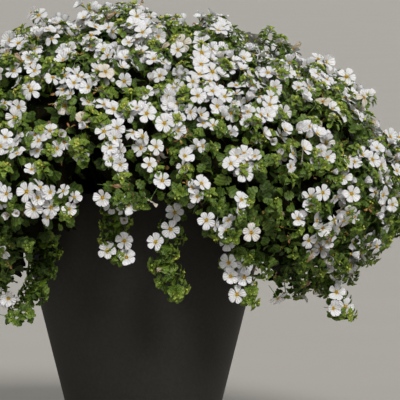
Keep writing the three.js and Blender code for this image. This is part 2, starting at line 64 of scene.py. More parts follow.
# Pot
RIM_R = 150 * MM
RIM_Z = 290 * MM
TAPER = 0.25
WALL = 7 * MM
FLOOR = 8 * MM
EDGE = 1.6 * MM
SOFT = 0.3 * EDGE  # how far a rounded edge's middle lies inside its corner
SOFT_INSIDE = 0.2 * EDGE
WALL_RING = 0.65  # part of the height where the outer wall has a ring of points
POT_STEPS = 96
DRAIN_R = 6 * MM
DRAIN_RING = 40 * MM
DRAINS = 3
DRAIN_SIDES = 24
SOIL_Z = 264 * MM

# Mound and its heads, as in the solids
MOUND_WIDE = 300 * MM
MOUND_DEEP = 256 * MM
MOUND_HIGH = 205 * MM
MOUND_LEAN = 0.37  # part of that height lost for each metre to the right
MOUND_DROP = 150 * MM
# Rings of heads from the top down: how many, degrees from upright, azimuth of the first one, and how far
# from the pot's axis their stems stand. The last ring has none at its first place, in front.
HEAD_RINGS = [(1, 0, 0, 0), (5, 37, -90, 38 * MM), (8, 69, -90, 74 * MM), (8, 104, -90, 106 * MM)]
OPEN_RING = 3

# Lower edge of the mound's front, as (x, height over the rim), and of its back
HEM_FRONT = [
    (-300, -80), (-165, -112), (-140, -106), (-126, -70), (-112, -50), (-78, -40), (-72, 42),
    (-46, 44), (-38, -4), (52, -8), (68, -12), (76, -50), (118, -60), (135, -84), (146, -92),
    (152, -112), (184, -115), (206, -115), (214, -102), (246, -104), (254, -80), (262, -70),
    (290, -60), (300, -52),
]
HEM_BACK = -80
HEM_WAVE = 9  # millimetres up and down, and how far apart
HEM_WAVE_APART = 30 * MM
# The mound's outline as the camera sees it, as (x, height over the rim)
CREST = [
    (-300, 50), (-240, 122), (-190, 151), (-162, 165), (-148, 172), (-134, 182), (-124, 188),
    (-108, 195), (-90, 184), (-80, 180), (-70, 193), (-57, 203), (-45, 202), (-28, 208), (-6, 208),
    (6, 202), (20, 193), (32, 197), (45, 198), (60, 191), (75, 196), (90, 192), (104, 188),
    (118, 172), (126, 163), (136, 172), (150, 168), (160, 160), (168, 139), (178, 137), (190, 136),
    (200, 139), (212, 130), (226, 129), (236, 117), (248, 115), (256, 101), (262, 78), (268, 60),
    (280, 58), (290, 56), (300, 50),
]
FRONT_CREST_Y = -0.4 * MOUND_DEEP  # where the front's height is taken
CREST_FADES = 160 * MM  # how far its bumps reach from the middle to the front and back
CREST_PART = 0.92  # the part of the solids' height that the leaves take in front and behind
CREST_LEAST = 0.05  # keeps the mound's height from vanishing at its sides
# How far flowers reach past the leaves, to the sides and up
FLOWER_REACH = 7 * MM
FLOWER_REACH_UP = 14.5 * MM
SIDE_LEAST = 0.02  # keeps the places in front off the mound's very side
# Shoots that stand out of the outline, as (x, height over the rim, flowers)
PROUD_SHOOTS = [
    (-117, 190, 2), (-57, 198, 3), (141, 172, 0), (155, 163, 0), (230, 118, 1), (254, 98, 1),
    (202, 138, 2),
]
PROUD_HEADING = (-0.4, 0.8)  # how far they lean to the front, and up
PROUD_LEAN = 0.1
PROUD_FLOWERS_APART = 9 * MM
PROUD_FLOWERS_OUT = 4 * MM
# Their flowers: each one's step to the right, how far to the left they start for each of them, how far in
# front they stand, and how high the first one stands and how much lower each next one
PROUD_STEP = 0.9
PROUD_START = 0.4
PROUD_FRONT = -0.5
PROUD_TOP = 0.3
PROUD_FALL = 0.4
# Places in the mound's front, as (x, height over the rim, radius): leafy with hardly a flower, full of
# flowers, and dark gaps
GREEN_PLACES = [
    (119, -32, 20), (-72, 70, 13), (-57, 62, 11), (83, 62, 12), (81, 28, 13), (-155, 33, 13),
    (125, -7, 13), (246, -20, 10), (108, 166, 13), (152, 160, 16), (28, 40, 11), (-14, 108, 13),
    (139, 35, 12), (174, -60, 9), (15, 75, 10), (-129, -55, 12), (-146, 114, 10), (-103, 73, 8),
    (216, 90, 11), (-61, 93, 10), (163, -13, 12), (38, 62, 10), (48, 143, 10), (34, 170, 13),
    (127, 56, 11), (-53, 43, 10), (194, 107, 12), (-46, 107, 7), (-8, 22, 11), (-138, 147, 12),
    (-100, 106, 10), (-130, 30, 9), (233, 70, 12), (205, -98, 11), (140, -87, 10), (134, -48, 15),
    (22, 152, 12), (-154, 82, 13), (52, 68, 9), (-103, 148, 11), (228, 48, 11), (52, 172, 10),
    (243, 49, 10), (260, -8, 8), (148, -18, 12), (158, 109, 10),
]
FULL_PLACES = [
    (35, 124, 11), (70, 119, 20), (97, 98, 16), (104, 128, 18), (38, 91, 12), (-116, 1, 14),
    (-22, 147, 17), (0, 178, 15), (-33, 63, 14), (-78, 113, 14), (135, 92, 13), (-101, 171, 13),
    (-57, 122, 14), (110, 37, 12), (-57, 190, 12), (-57, 175, 12), (-26, 36, 9), (4, 36, 8),
    (60, 16, 8), (-76, 2, 10), (-127, 110, 8), (-150, 4, 10), (266, 38, 14), (264, 8, 12),
    (266, -28, 14), (194, -16, 12), (204, -38, 14), (190, -52, 12), (208, -66, 12), (226, 12, 12),
    (244, -60, 15), (176, 56, 14), (198, 54, 11), (118, 40, 9), (-34, 92, 9), (-152, 59, 11),
    (-91, 60, 12), (-102, -9, 12), (77, -27, 9), (18, 19, 8), (146, 122, 13), (-2, 64, 9),
    (61, 53, 8), (20, 134, 11), (84, 179, 11), (11, 52, 8), (-138, 44, 9), (225, -8, 11),
    (2, 86, 9), (216, 81, 9), (250, 34, 10),
]
HOLLOWS = [
    (-111, 92, 13), (-81, 28, 18), (-55, 20, 14), (-142, 15, 10), (133, 12, 13), (172, 6, 12),
    (35, 19, 9), (-9, 35, 7), (-24, 79, 8), (124, -48, 11), (-115, -35, 14), (-99, -64, 12),
]
FRONT_PLACES_END = 20 * MM  # how far behind the pot's axis these places reach
LUMPS = [(7 * MM, 62 * MM), (4 * MM, 26 * MM)]  # how high, and how far apart

# How many of each are spread over a whole ball of which the mound is a part
SHOOT_SPOTS = 1080
LEAF_SPOTS = 2600
DEEP_LEAF_SPOTS = 3200
LEAF_NUDGE = 0.03
SHOOT_NUDGE = 0.032
# Depths in millimetres under the mound's surface, sizes, random lean and ranges of colour value
DEEP_LEAF_DEPTHS = (8, 24)
DEEP_LEAF_SIZES = (0.85, 1.3)
DEEP_LEAF_LEAN = 0.5
DEEP_LEAF_HUES = (-0.06, 0.06)
DEEP_LEAF_PAINTED_SHADE = 0.14  # colour value that the least deep ones gain; deeper ones are painted darker, as painted shade
LEAF_DEPTHS = (1, 11)
LEAF_SIZES = (0.75, 1.2)
LEAF_LEAN = 0.6
LEAF_HUES = (-0.1, 0.12)
LEAF_PAINTED_SHADE = 0.6  # part of the tips' painted shade that the leaves take
TIP_DEPTHS = (-9, 4)
TIP_SIZES = (0.8, 1.2)
TIP_LEAN = 0.32
TIP_HUES = (-0.12, 0.08)
TIP_UP = 0.2  # how far the tips turn up
# Flowers round a shoot, how near they come to each other, and where they stand and face
SHOOT_FLOWERS = (3, 7)
FLOWERS_APART = 8 * MM
FLOWERS_PATCHY = 0.6  # how much their number differs from place to place, and how far apart that is
PATCHES_APART = 35 * MM
FLOWER_SIDES = (6, 20)  # how far from a tip, to a side and outwards, in millimetres
FLOWER_OUT = (-4, 6)
FLOWER_SIZES = (0.72, 1.14, 0.96)  # least, greatest and usual
FLOWER_LEAN = 0.45
FLOWER_TURN = (0.1, 0.75)  # how far they turn away from their tip
FLOWER_AGE = (0, 0.1)
FLOWERS_LEVEL = 0.3  # how far flowers turn from outwards to level
TO_LIGHT = Vector((0.05, -0.2, 0.25))
FRONT_ENDS = 100 * MM  # how far behind the pot's axis the flowers still turn to the light in front
# The part of them that is kept, by height over the rim and by distance to the right
BLOOM_BY_HEIGHT = [(-110, 0.04), (-50, 0.13), (0, 0.26), (50, 0.44), (100, 0.63), (150, 0.73)]
BLOOM_BY_X = [(-300, 0.75), (-60, 0.8), (0, 0.9), (60, 0.94), (120, 0.8), (300, 0.7)]
FLOWERS_UNDER_HEM = 6 * MM
FULL_SPACE = 46  # square millimetres of a full place's radius for each of its flowers
FULL_TURN = (0.1, 0.6)
FULL_PROUD = (4, 11)  # how far they stand out, in millimetres, and how far below the rim
FULL_PROUD_LOW = (-1, 9)
# How much wider than itself a hollow keeps leaves, tips and flowers away, in millimetres
HOLLOW_LEAVES = 2
HOLLOW_TIPS = 4
HOLLOW_FLOWERS = 6
HOLLOW_LEAF_DEPTH = 9  # how much deeper its deep leaves lie
# The dark inside, a crumpled shell painted near black as painted shade: its depth under the surface, its
# thickness and its crumples
CORE_DEPTH = 25 * MM
CORE_SHELL = 3 * MM
CORE_CRUMPLE = 8 * MM
CORE_CRUMPLE_APART = 16 * MM
CORE_OVER_HEM = 10 * MM
CORE_FINE = 5
HOLLOW_DEPTH = 16 * MM

FLOWER_R = 10.6 * MM
# A petal: places along it, and there its reach and half width as parts of the flower's radius
PETAL_PLACES = (0, 0.25, 0.5, 0.75, 1)
PETAL_REACH = (0.12, 0.4, 0.67, 0.88, 1.0)
PETAL_HALF = (0.1, 0.26, 0.39, 0.38, 0.21)
PETAL_THICK = 0.35 * MM
PETALS = 5
PETAL_ROWS = 4
PETAL_FOLD = 0.13
PETAL_FOLD_WAVE = 3  # radians of the fold's wave from a petal's foot to its end
# How petals differ: degrees of turn, rise and curl, then twist, and ranges of width and length
PETAL_TURN = 8
PETAL_RISE = 11
PETAL_CURL = 8
PETAL_TWIST = 0.14
PETAL_WIDTHS = (0.84, 1.14)
PETAL_LENGTHS = (0.92, 1.05)
# Cones: sides, radius below and above, length, and height of the middle
EYE = (5, 0.15 * FLOWER_R, 0.07 * FLOWER_R, 1.4 * MM, 0.6 * MM)
TUBE = (5, 0.45 * MM, 1.5 * MM, 4 * MM, -2.1 * MM)
STALK = (3, 0.4 * MM, 0.45 * MM, 15 * MM, -11 * MM)
TIP_STALK = (4, 0.8 * MM, 0.6 * MM, 20 * MM, -5 * MM)
EYE_EDGE = 0.05  # place along the petal ramp of the eye's foot

LEAF_LENGTH = 12.5 * MM
LEAF_THICK = 0.3 * MM
LEAF_FOOT = 0.06  # part of a leaf's length that is its stalk
LEAF_ENDS = 0.04  # how near its ends come to a point
LEAF_BROAD_LOW = 0.8  # under 1, the leaf is broadest below its middle
LEAF_BLUNT = 0.6
TOOTH = 1.17
NOTCH = 0.8
BLADE_CORNER = 0.012  # part of its length by which a blade's last corners fall back
BUD_R = 1.5 * MM
BUD_SHAPE = (0.9, 0.9, 1.4)

# Leafy tips. Their rings from the outside in: leaves, part of a leaf's length, rows, distance from the
# middle, rise in degrees, height and colour step
TIP_LEAF_LENGTH = 9.4 * MM
TIP_RINGS = [
    (4, 0.80, 4, 4.2, -14, 0, -0.18), (4, 0.74, 3, 3.2, 6, 1.8, -0.08), (3, 0.66, 3, 2.2, 22, 3.4, 0),
    (3, 0.54, 3, 1.4, 38, 4.6, 0.05), (2, 0.42, 3, 0.8, 56, 5.6, 0.1), (2, 0.30, 3, 0.3, 70, 6.2, 0.15),
]
TIP_TURN = 78  # degrees from one ring to the next
TIP_LEAF_TURN = 16
TIP_LEAF_RISE = 12
TIP_LEAF_SIZES = (0.85, 1.15)
TIP_LEAF_ARCH = (0.2, 0.5)
TIP_LEAF_HUE = 0.07
TIP_LEAF_UP = 1
TIP_LEAF_WIDE = 0.95
TIP_LEAF_FOLD = 0.2
TIP_KINDS = 6
TIP_BUDS = 4
BUD_REACH = (1, 7.5)  # distance of the buds from the tip's middle, in millimetres
BUD_HIGH = 8.6 * MM
BUD_FALL = 0.35
BUD_LEAN = 0.8
BUD_SIZES = (0.6, 1.15)
BUD_HUES = (-0.06, 0.03)

STEM_THINS = 0.5
STEM_R = 1.6 * MM
STEM_SIDES = 5
STEM_STEPS = 4
STEMS_PER_HEAD = 5
STEM_SPREAD = 45 * MM
STEM_FOOT_SPREAD = 9
STEM_SUNK = 6
STEM_INTO_CORE = 4 * MM
STEM_BEND_OUT = 0.45
STEM_BEND_UP = 0.77
STEM_FAN = 0.08  # radians to each side where stems cross the rim
DRY_SHARE = 0.03
DRY_SIZE = 0.4
# Petals of a dried flower: how many, radius, rows, degrees of rise and curl, part of the width, and age
DRIED_PETALS = (3, 5.5 * MM, 3, 38, -30, 0.5, 0)
DRIED_SIZES = (0.6, 1.2)
# The shares of shoots with a dried flower, a wilted one and an old one beside them
DRIED_FLOWERS = 0.45
WILTED_FLOWERS = 0.08
OLD_FLOWERS = 0.2
WILTED_AGE = (0, 0.4)
OLD_AGE = (0.1, 0.32)
BESIDE = 12  # how far from a tip those lie, and how deep, in millimetres
BESIDE_DEPTH = 3
BESIDE_LEAN = 0.9

# Colours of the floor, of the air at the horizon and of the room above
FLOOR_COLOUR = (0.415, 0.397, 0.362)
HORIZON = (0.36, 0.342, 0.311)
ROOM = (0.235, 0.235, 0.23)

# How much darker the leaves are painted low on the mound, as painted shade, by height over the rim, and the
# colour values along their ramp
PAINTED_SHADE_BY_HEIGHT = [(-110, 0.13), (-40, 0.1), (40, 0.05), (110, 0)]
# painted shade: the inside's shell is painted near black
HUE_SHADE_SHELL = 0.0
# painted shade: the deep leaves are painted dark
HUE_DEEP_SHADED = 0.22
HUE_STEM = 0.56
HUE_LEAF = 0.42
HUE_TIP = 0.6
HUE_BUD = 0.87
HUE_DRY = 1.0
# Markings of the leaves, then of the petals; some are painted shade, at a leaf's stalk and in the creases
LEAF_MOTTLE = 0.26  # colour values between its patches, and from a leaf's stalk to its end, darker at the stalk as painted shade and paler at the end as painted light
LEAF_FOOT_PAINTED_SHADE = 0.1
SIDE_VEINS = 4  # pairs on a leaf
SIDE_VEINS_DEEP = 0.25  # part of the middle vein's depth
VEIN_SHARP = 6
CREASE_FROM = 0.55  # of a side vein's wave; there the leaf is painted darker, as painted shade
CREASE_PAINTED_SHADE = (0.52, 0.58, 0.5)
LEAF_ROUGH = 3
TUBE_GREEN = (0.12, 0.22, 0.04)
PETAL_CREASES = 20  # radians of their wave over a petal's width
PETAL_CREASE_SHADE = 0.2  # how far they darken its colour, as painted shade in the creases
# Sizes of the finishes' patches, as how many there are in a metre
LEAF_PATCHES = 340
PETAL_PATCHES = 420
POT_PATCHES = 9
POT_GRAIN = 260
SOIL_CRUMBS = 160
FLOOR_PATCHES = 3
FLOOR_UNEVEN = 0.97

# Trailing stems: azimuth in the soil, azimuth that the flowers face, and the route after the rim as x, y
# and height over the rim, in millimetres. Flowers are x, height and kind. Tips are height and turn, and
# shade is how much darker a stem's tips are painted, as painted shade under the mound.
TRAIL_SOIL_R = 119
OVER_RIM = 22  # height over the rim of the stems that cross it
TRAIL_STEM_R = 1.9 * MM
TRAIL_STEM_SIDES = 6
TRAIL_STEPS = 6
FALLS_FROM = 2 * TRAIL_STEPS  # the point of a route where it has crossed the rim
TRAIL_UP = 0.15  # part that the flowers look up
# painted shade: how much darker trailing stems' tips are painted, unless a stem gives its own
TRAIL_PAINTED_SHADE = 0.04
TRAIL_TIP_OUT = 11
TRAIL_TIP_DROOP = 0.35
TRAIL_TIP_LEAN = 0.2
TRAIL_TIP_SIZES = (0.85, 1.1)
TRAIL_TIP_HUES = (-0.12, 0.05)
TRAIL_LEAF_STEP = 5.5 * MM
TRAIL_LEAF_TURN = 0.4
TRAIL_LEAF_RISE = (-0.7, 0.1)
TRAIL_LEAF_LEAN = 0.3
TRAIL_LEAF_UP = 0.5
TRAIL_LEAF_SIZES = (0.75, 1.15)
TRAIL_LEAF_HUES = (-0.18, 0.12)
TRAIL_FLOWER_OUT = 14
TRAIL_FLOWER_NOD = 0.2
TRAIL_FLOWER_FAN = 12  # how far a flower turns to the side for each metre that it stands there
TRAILS = {
    "a": {
        "soil": -102, "faces": -90,
        "route": [(-27, -184, 2), (-28, -192, -20), (-28, -192, -48), (-27, -190, -68)],
        "flowers": [
            (-16, 5, "flat"), (-31, -11, "flat"), (-18, -27, "half"), (-18, -50, "flat"),
            (-36, -61, "wavy"),
        ],
        "tips": [(-4, 30), (-12, -70), (-28, -80), (-24, 70), (-42, 60), (-44, -60), (-58, -30), (-64, 20)],
    },
    "b": {
        "soil": -70, "faces": -90,
        "route": [(46, -184, 2), (38, -194, -28), (24, -195, -60), (28, -193, -84), (39, -190, -106)],
        "flowers": [
            (52, -5, "flat"), (37, -19, "wavy"), (32, -37, "flat"), (16, -51, "flat"), (21, -81, "wilted"),
        ],
        "tips": [
            (-2, -60), (-30, -90), (-44, 90), (-60, 50), (-72, -50), (-82, 80), (-90, -40), (-98, 60),
            (-104, 0),
        ],
    },
    "c": {
        "soil": -53, "faces": -84,
        "route": [(94, -164, 2), (98, -171, -40), (104, -172, -80), (113, -170, -114)],
        "flowers": [
            (80, -28, "flat"), (92, -52, "flat"), (94, -75, "wavy"), (111, -77, "flat"),
            (96, -90, "cupped"), (111, -91, "flat"), (103, -110, "flat"),
        ],
        "tips": [
            (-20, 70), (-44, -80), (-62, 80), (-72, -70), (-94, 90), (-104, 40), (-110, 10), (-116, 40),
        ],
    },
    "d": {
        "soil": -15, "faces": -60,
        "route": [(168, -56, 2), (174, -64, -44), (200, -84, -88), (220, -96, -134)],
        "flowers": [
            (225, -85, "flat"), (210, -96, "wavy"), (208, -114, "flat"), (204, -131, "cupped"),
            (218, -130, "flat"),
        ],
        "tips": [
            (-60, -70), (-70, 80), (-78, -100), (-84, -60), (-92, 20), (-96, 80), (-104, -90), (-118, 60),
            (-132, -60), (-138, 40), (-138, 0),
        ],
    },
    "e": {
        # painted shade: this stem hangs in the mound's shade, so its tips are painted darker
        "soil": -130, "faces": -112, "shade": 0.14,
        "route": [(-110, -134, 2), (-107, -132, -56), (-111, -139, -96), (-136, -150, -134)],
        "flowers": [(-141, -117, "cupped"), (-152, -136, "half")],
        "tips": [
            (-38, -30), (-44, 40), (-50, 70), (-54, -110), (-58, -60), (-62, 120), (-66, 90), (-74, -30),
            (-80, -75), (-84, 60), (-88, -95), (-94, -50), (-100, -60), (-108, -85), (-112, 80),
            (-116, -60), (-124, -80), (-130, 60), (-138, 0),
        ],
    },
    "f": {
        "soil": 70, "faces": 75,
        "route": [(58, 160, 2), (58, 160, -70), (64, 174, -112), (72, 184, -152)],
        "flowers": [(74, -102, "flat"), (60, -122, "wavy"), (78, -143, "flat")],
        "tips": [(-84, 90), (-98, -80), (-112, 60), (-124, -60), (-136, 80), (-150, 0)],
    },
    "g": {
        "soil": 115, "faces": 110,
        "route": [(-78, 170, 4), (-84, 178, -60), (-88, 180, -144)],
        "flowers": [(-92, -90, "flat"), (-79, -108, "wavy"), (-94, -126, "flat"), (-80, -144, "flat")],
        "tips": [(-70, 60), (-84, -70), (-98, 80), (-114, -80), (-128, 60), (-146, 0)],
    },
}

# Camera, stage and lamps
CAMERA_AIM = Vector((64, 0, 274)) * MM
CAMERA_FAR = 5
CAMERA_NEAR = 0.05  # where its view starts
CAMERA_RISE = 3.5
VIEW_WIDTH = 452 * MM
SENSOR = 36
FLOOR_WIDE = 300
# Even light: name, heading, strength, softness in degrees, and colour
SUNS = [
    ("softbox", (-0.25, 0.75, -0.62), 2.5, 20, (1.0, 0.985, 0.965)),
    ("back_light", (-0.3, -0.85, -0.35), 1.2, 60, (1.0, 0.995, 0.99)),
]
# The fill is a square lamp
FILL_PLACE = Vector((-1.8, -1.9, 0.9))
FILL_AIM = Vector((0, 0, 0.3))
FILL_WIDE = 1.6
FILL_POWER = 6
FILL_COLOUR = (1.0, 0.99, 0.98)

GOLDEN_TURN = math.radians(137.5)
UP = Vector((0, 0, 1))
ASKEW = Vector((0.3, 0.2, 1))  # a direction that no shoot has, from which its sides are found
NEARLY_UP = 0.95  # a direction with more height than this counts as upright
LEAST_FALL = 1e-9  # keeps a level stretch of a route from dividing by nothing


# Shapes that are repeated

def new_shape():
    """An empty shape whose points tell the materials along, across, colour value and greenness."""
    bm = bmesh.new()
    bm.verts.layers.float_color.new("growth")
    return bm


def paint(bm, verts, colour, greenness=0):
    """Gives points a colour value and greenness, and the middle of a blade as their place."""
    growth = bm.verts.layers.float_color["growth"]
    for vert in verts:
        vert[growth] = (0.5, 0.5, colour, greenness)


def as_mesh(bm, name, *finishes):
    """The mesh of a shape with its finishes. The shape is then done with."""
    mesh = bpy.data.meshes.new(name)
    bm.to_mesh(mesh)
    bm.free()
    for finish in finishes:
        mesh.materials.append(finish)
    return mesh


def put(name, data):
    """A new object in the scene."""
    thing = bpy.data.objects.new(name, data)
    bpy.context.scene.collection.objects.link(thing)
    return thing


def ring_point(turn, reach, z=0):
    """The point at an angle and a distance from the axis, and at a height."""
    return Vector((reach * math.cos(turn), reach * math.sin(turn), z))


def random_step(draw, size):
    """A random step in any direction."""
    return Vector([draw.gauss(0, size) for _ in range(3)])


def random_scale(draw, sizes):
    """A scale between two sizes."""
    return Matrix.Scale(draw.uniform(*sizes), 4)


def along_z(heading):
    """The turn that sets +Z along a heading."""
    return heading.to_track_quat("Z", "Y").to_matrix().to_4x4()


def place_at(spot, outwards, draw, lean):
    """A place at a spot with +Z roughly outwards, with a random lean and a random turn about it."""
    heading = outwards + random_step(draw, lean)
    spin = Matrix.Rotation(draw.uniform(0, 2 * math.pi), 4, "Z")
    return Matrix.Translation(spot) @ (along_z(heading) @ spin)


def blade(bm, rows, outline, sink, thick, colour):
    """A closed thin blade from the origin along +Y. outline gives (y, half width) and sink gives z."""
    growth = bm.verts.layers.float_color["growth"]
    made = bmesh.ops.create_grid(bm, x_segments=2, y_segments=rows, size=1)
    front = made["verts"]
    for vert in front:
        across = round(vert.co.x)
        along = (vert.co.y + 1) / 2
        y, half = outline(along)
        tip_fall = BLADE_CORNER * abs(across) if round(along * rows) == rows else 0
        vert.co = Vector((across * half, y * (1 - tip_fall), sink(along, across)))
        vert[growth] = (along, 0.5 + 0.5 * across, colour, 0)
    faces = list({face for vert in front for face in vert.link_faces})
    rim = [edge for face in faces for edge in face.edges if edge.is_boundary]
    for edge in rim:
        edge.smooth = False
    copied = bmesh.ops.duplicate(bm, geom=faces)["geom"]
    back = [item for item in copied if isinstance(item, bmesh.types.BMFace)]
    middle = {vert for face in back for vert in face.verts if not vert.is_boundary}
    bmesh.ops.translate(bm, vec=(0, 0, -thick), verts=list(middle))
    bmesh.ops.reverse_faces(bm, faces=back)
    blade_verts = list({vert for face in faces + back for vert in face.verts})
    bmesh.ops.remove_doubles(bm, verts=blade_verts, dist=MERGE)
    left = {vert for face in faces + back if face.is_valid for vert in face.verts}
    return [vert for vert in left if vert.is_valid]


def finish_shape(bm, name):
    """A smooth mesh from a shape, with its normals outwards."""
    for face in bm.faces:
        face.smooth = True
    bmesh.ops.recalc_face_normals(bm, faces=bm.faces)
    return as_mesh(bm, name)


def add_cone(bm, sides, low, top, length, middle):
    """A capped cone round Z, with the height of its middle."""
    made = bmesh.ops.create_cone(
        bm, segments=sides, radius1=low, radius2=top, depth=length, cap_ends=True,
        matrix=Matrix.Translation((0, 0, middle)),
    )
    return made["verts"]


def add_petals(bm, draw, count, size, rows, lift, bend, narrow, colour):
    """Petals round a middle. lift and bend are degrees that they rise and curl."""
    for petal in range(count):
        turn = petal * 360 / count + draw.uniform(-PETAL_TURN, PETAL_TURN)
        rise = math.radians(lift + draw.uniform(-PETAL_RISE, PETAL_RISE))
        curl = math.tan(math.radians(bend + draw.uniform(-PETAL_CURL, PETAL_CURL)))
        twist = draw.uniform(-PETAL_TWIST, PETAL_TWIST)
        width = narrow * draw.uniform(*PETAL_WIDTHS)
        reach = size * draw.uniform(*PETAL_LENGTHS)

        def outline(along):
            half = np.interp(along, PETAL_PLACES, PETAL_HALF)
            return np.interp(along, PETAL_PLACES, PETAL_REACH) * reach, half * reach * width

        def sink(along, across):
            fold = PETAL_FOLD * abs(across) * math.sin(PETAL_FOLD_WAVE * along) + twist * across
            return reach * along * (fold + 0.5 * curl * along)

        verts = blade(bm, rows, outline, sink, PETAL_THICK, colour)
        place = Matrix.Rotation(math.radians(turn), 4, "Z") @ Matrix.Rotation(rise, 4, "X")
        bmesh.ops.transform(bm, matrix=place, verts=verts)


def make_flower(name, seed, lift, bend, narrow, colour):
    """Five petals with a raised eye, on a short green tube and its stalk."""
    bm = new_shape()
    growth = bm.verts.layers.float_color["growth"]
    add_petals(bm, random.Random(seed), PETALS, FLOWER_R, PETAL_ROWS, lift, bend, narrow, colour)
    for vert in add_cone(bm, *EYE):
        vert[growth] = (0 if vert.co.z > EYE[-1] else EYE_EDGE, 0.5, colour, 0)
    paint(bm, add_cone(bm, *TUBE) + add_cone(bm, *STALK), colour, 1)
    return finish_shape(bm, name)


def toothed_outline(length, wide, rows):
    """A rounded leaf on a short stalk, with a blunt tooth a side at every other row."""
    def outline(along):
        part = LEAF_ENDS + (1 - 2 * LEAF_ENDS) * along ** LEAF_BROAD_LOW
        swell = math.sin(math.pi * part) ** LEAF_BLUNT
        tooth = TOOTH if round(along * rows) % 2 else NOTCH
        return length * (LEAF_FOOT + (1 - LEAF_FOOT) * along), 0.5 * wide * length * swell * tooth
    return outline


def add_leaf(bm, length, wide, rows, arch, fold, colour, place):
    """One leaf. arch bends its tip down and fold lifts its sides."""
    def sink(along, across):
        return length * (fold * abs(across) * math.sin(math.pi * along) - arch * along * along)
    verts = blade(bm, rows, toothed_outline(length, wide, rows), sink, LEAF_THICK, colour)
    bmesh.ops.transform(bm, matrix=place, verts=verts)


def make_leaf(name, length, wide, rows, arch, fold):
    """A single leaf, with the values that add_leaf takes."""
    bm = new_shape()
    add_leaf(bm, length, wide, rows, arch, fold, 0, Matrix.Identity(4))
    return finish_shape(bm, name)


def add_bud(bm, place, colour):
    """An egg-shaped bud."""
    verts = bmesh.ops.create_uvsphere(bm, u_segments=5, v_segments=2, radius=BUD_R)["verts"]
    bmesh.ops.scale(bm, vec=BUD_SHAPE, verts=verts)
    bmesh.ops.transform(bm, matrix=place, verts=verts)
    paint(bm, verts, colour)


def make_tip(name, seed, buds):
    """A leafy tip: rings of toothed leaves that grow smaller, with buds in its middle."""
    draw = random.Random(seed)
    bm = new_shape()
    for number, (leaves, part, rows, reach, rise, height, step) in enumerate(TIP_RINGS):
        for leaf in range(leaves):
            turn = number * TIP_TURN + leaf * 360 / leaves + draw.uniform(-TIP_LEAF_TURN, TIP_LEAF_TURN)
            tilt = math.radians(rise + draw.uniform(-TIP_LEAF_RISE, TIP_LEAF_RISE))
            place = (
                Matrix.Translation((0, 0, (height + draw.uniform(-TIP_LEAF_UP, TIP_LEAF_UP)) * MM))
                @ Matrix.Rotation(math.radians(turn), 4, "Z")
                @ Matrix.Rotation(tilt, 4, "X")
                @ Matrix.Translation((0, reach * MM, 0))
            )
            length = TIP_LEAF_LENGTH * part * draw.uniform(*TIP_LEAF_SIZES)
            arch = draw.uniform(*TIP_LEAF_ARCH)
            colour = step + draw.uniform(-TIP_LEAF_HUE, TIP_LEAF_HUE)
            add_leaf(bm, length, TIP_LEAF_WIDE, rows, arch, TIP_LEAF_FOLD, colour, place)
    for _ in range(buds):
        turn = draw.uniform(0, 2 * math.pi)
        reach = draw.uniform(*BUD_REACH) * MM
        spot = ring_point(turn, reach, BUD_HIGH - BUD_FALL * reach)
        lean = Matrix.Rotation(draw.uniform(-BUD_LEAN, BUD_LEAN), 4, "X")
        size = random_scale(draw, BUD_SIZES)
        hue = HUE_BUD - HUE_TIP + draw.uniform(*BUD_HUES)
        add_bud(bm, Matrix.Translation(spot) @ lean @ size, hue)
    paint(bm, add_cone(bm, *TIP_STALK), HUE_STEM - HUE_TIP)
    return finish_shape(bm, name)


# Kinds of flowers: seed, degrees that the petals rise and curl, part of a petal's width, and age
FLOWERS = {
    "flat": [make_flower("flower_flat_1", 1, 8, -6, 1, 0), make_flower("flower_flat_2", 2, 12, 0, 1, 0)],
    "wavy": [make_flower("flower_wavy", 3, 18, -22, 0.95, 0)],
    "cupped": [make_flower("flower_cupped", 4, 34, 8, 1, 0)],
    "bent_back": [make_flower("flower_bent_back", 5, -12, -26, 0.95, 0)],
    "half": [make_flower("flower_half", 6, 58, 12, 0.85, 0)],
    "wilted": [make_flower("flower_wilted", 7, 70, 40, 0.6, 0.35)],
}
FLOWER_MIX = ["flat"] * 8 + ["wavy"] * 4 + ["cupped"] * 4 + ["bent_back"] * 3 + ["half"] * 3
TIPS = [make_tip(f"tip_{seed}", seed, 1 + seed % TIP_BUDS) for seed in range(TIP_KINDS)]
# Leaves: length, width as a part of it, rows, and how far the tip arches down and the sides fold up
LEAVES = [
    make_leaf("leaf_flat", LEAF_LENGTH, 0.95, 6, 0.14, 0.08),
    make_leaf("leaf_arched", LEAF_LENGTH, 0.88, 6, 0.36, 0.16),
]
DEEP_LEAVES = [make_leaf("leaf_deep", 1.1 * LEAF_LENGTH, 0.85, 4, 0.2, 0.12)]


def make_dried(name, seed):
    """A dried flower: a few thin shrunken petals."""
    bm = new_shape()
    add_petals(bm, random.Random(seed), *DRIED_PETALS)
    return finish_shape(bm, name)


DRIED = [make_dried("dried_1", 1), make_dried("dried_2", 2)]


# The mound

def mound_high(x):
    """The mound's height over the rim, at a distance to the right of the pot's axis."""
    return MOUND_HIGH * (1 - MOUND_LEAN * x)


def head_middles():
    """The middle of each head and where its stem stands. The outer ring is open at the front."""
    heads = []
    for ring, (count, polar, first, stem_ring) in enumerate(HEAD_RINGS):
        for step in range(count):
            if ring == OPEN_RING and step == 0:
                continue
            tilt, azimuth = math.radians(polar), math.radians(first + step * 360 / count)
            x = MOUND_WIDE * math.sin(tilt) * math.cos(azimuth)
            y = MOUND_DEEP * math.sin(tilt) * math.sin(azimuth)
            high = mound_high(x) if polar < 90 else MOUND_DROP
            middle = Vector((x, y, RIM_Z + high * math.cos(tilt)))
            foot = ring_point(azimuth, stem_ring, SOIL_Z)
            heads.append({"middle": middle, "foot": foot, "ring": ring, "azimuth": azimuth})
    return heads


HEADS = head_middles()


def nearest_head(point):
    """The number of the head that a point is nearest to."""
    return min(range(len(HEADS)), key=lambda i: (HEADS[i]["middle"] - point).length_squared)


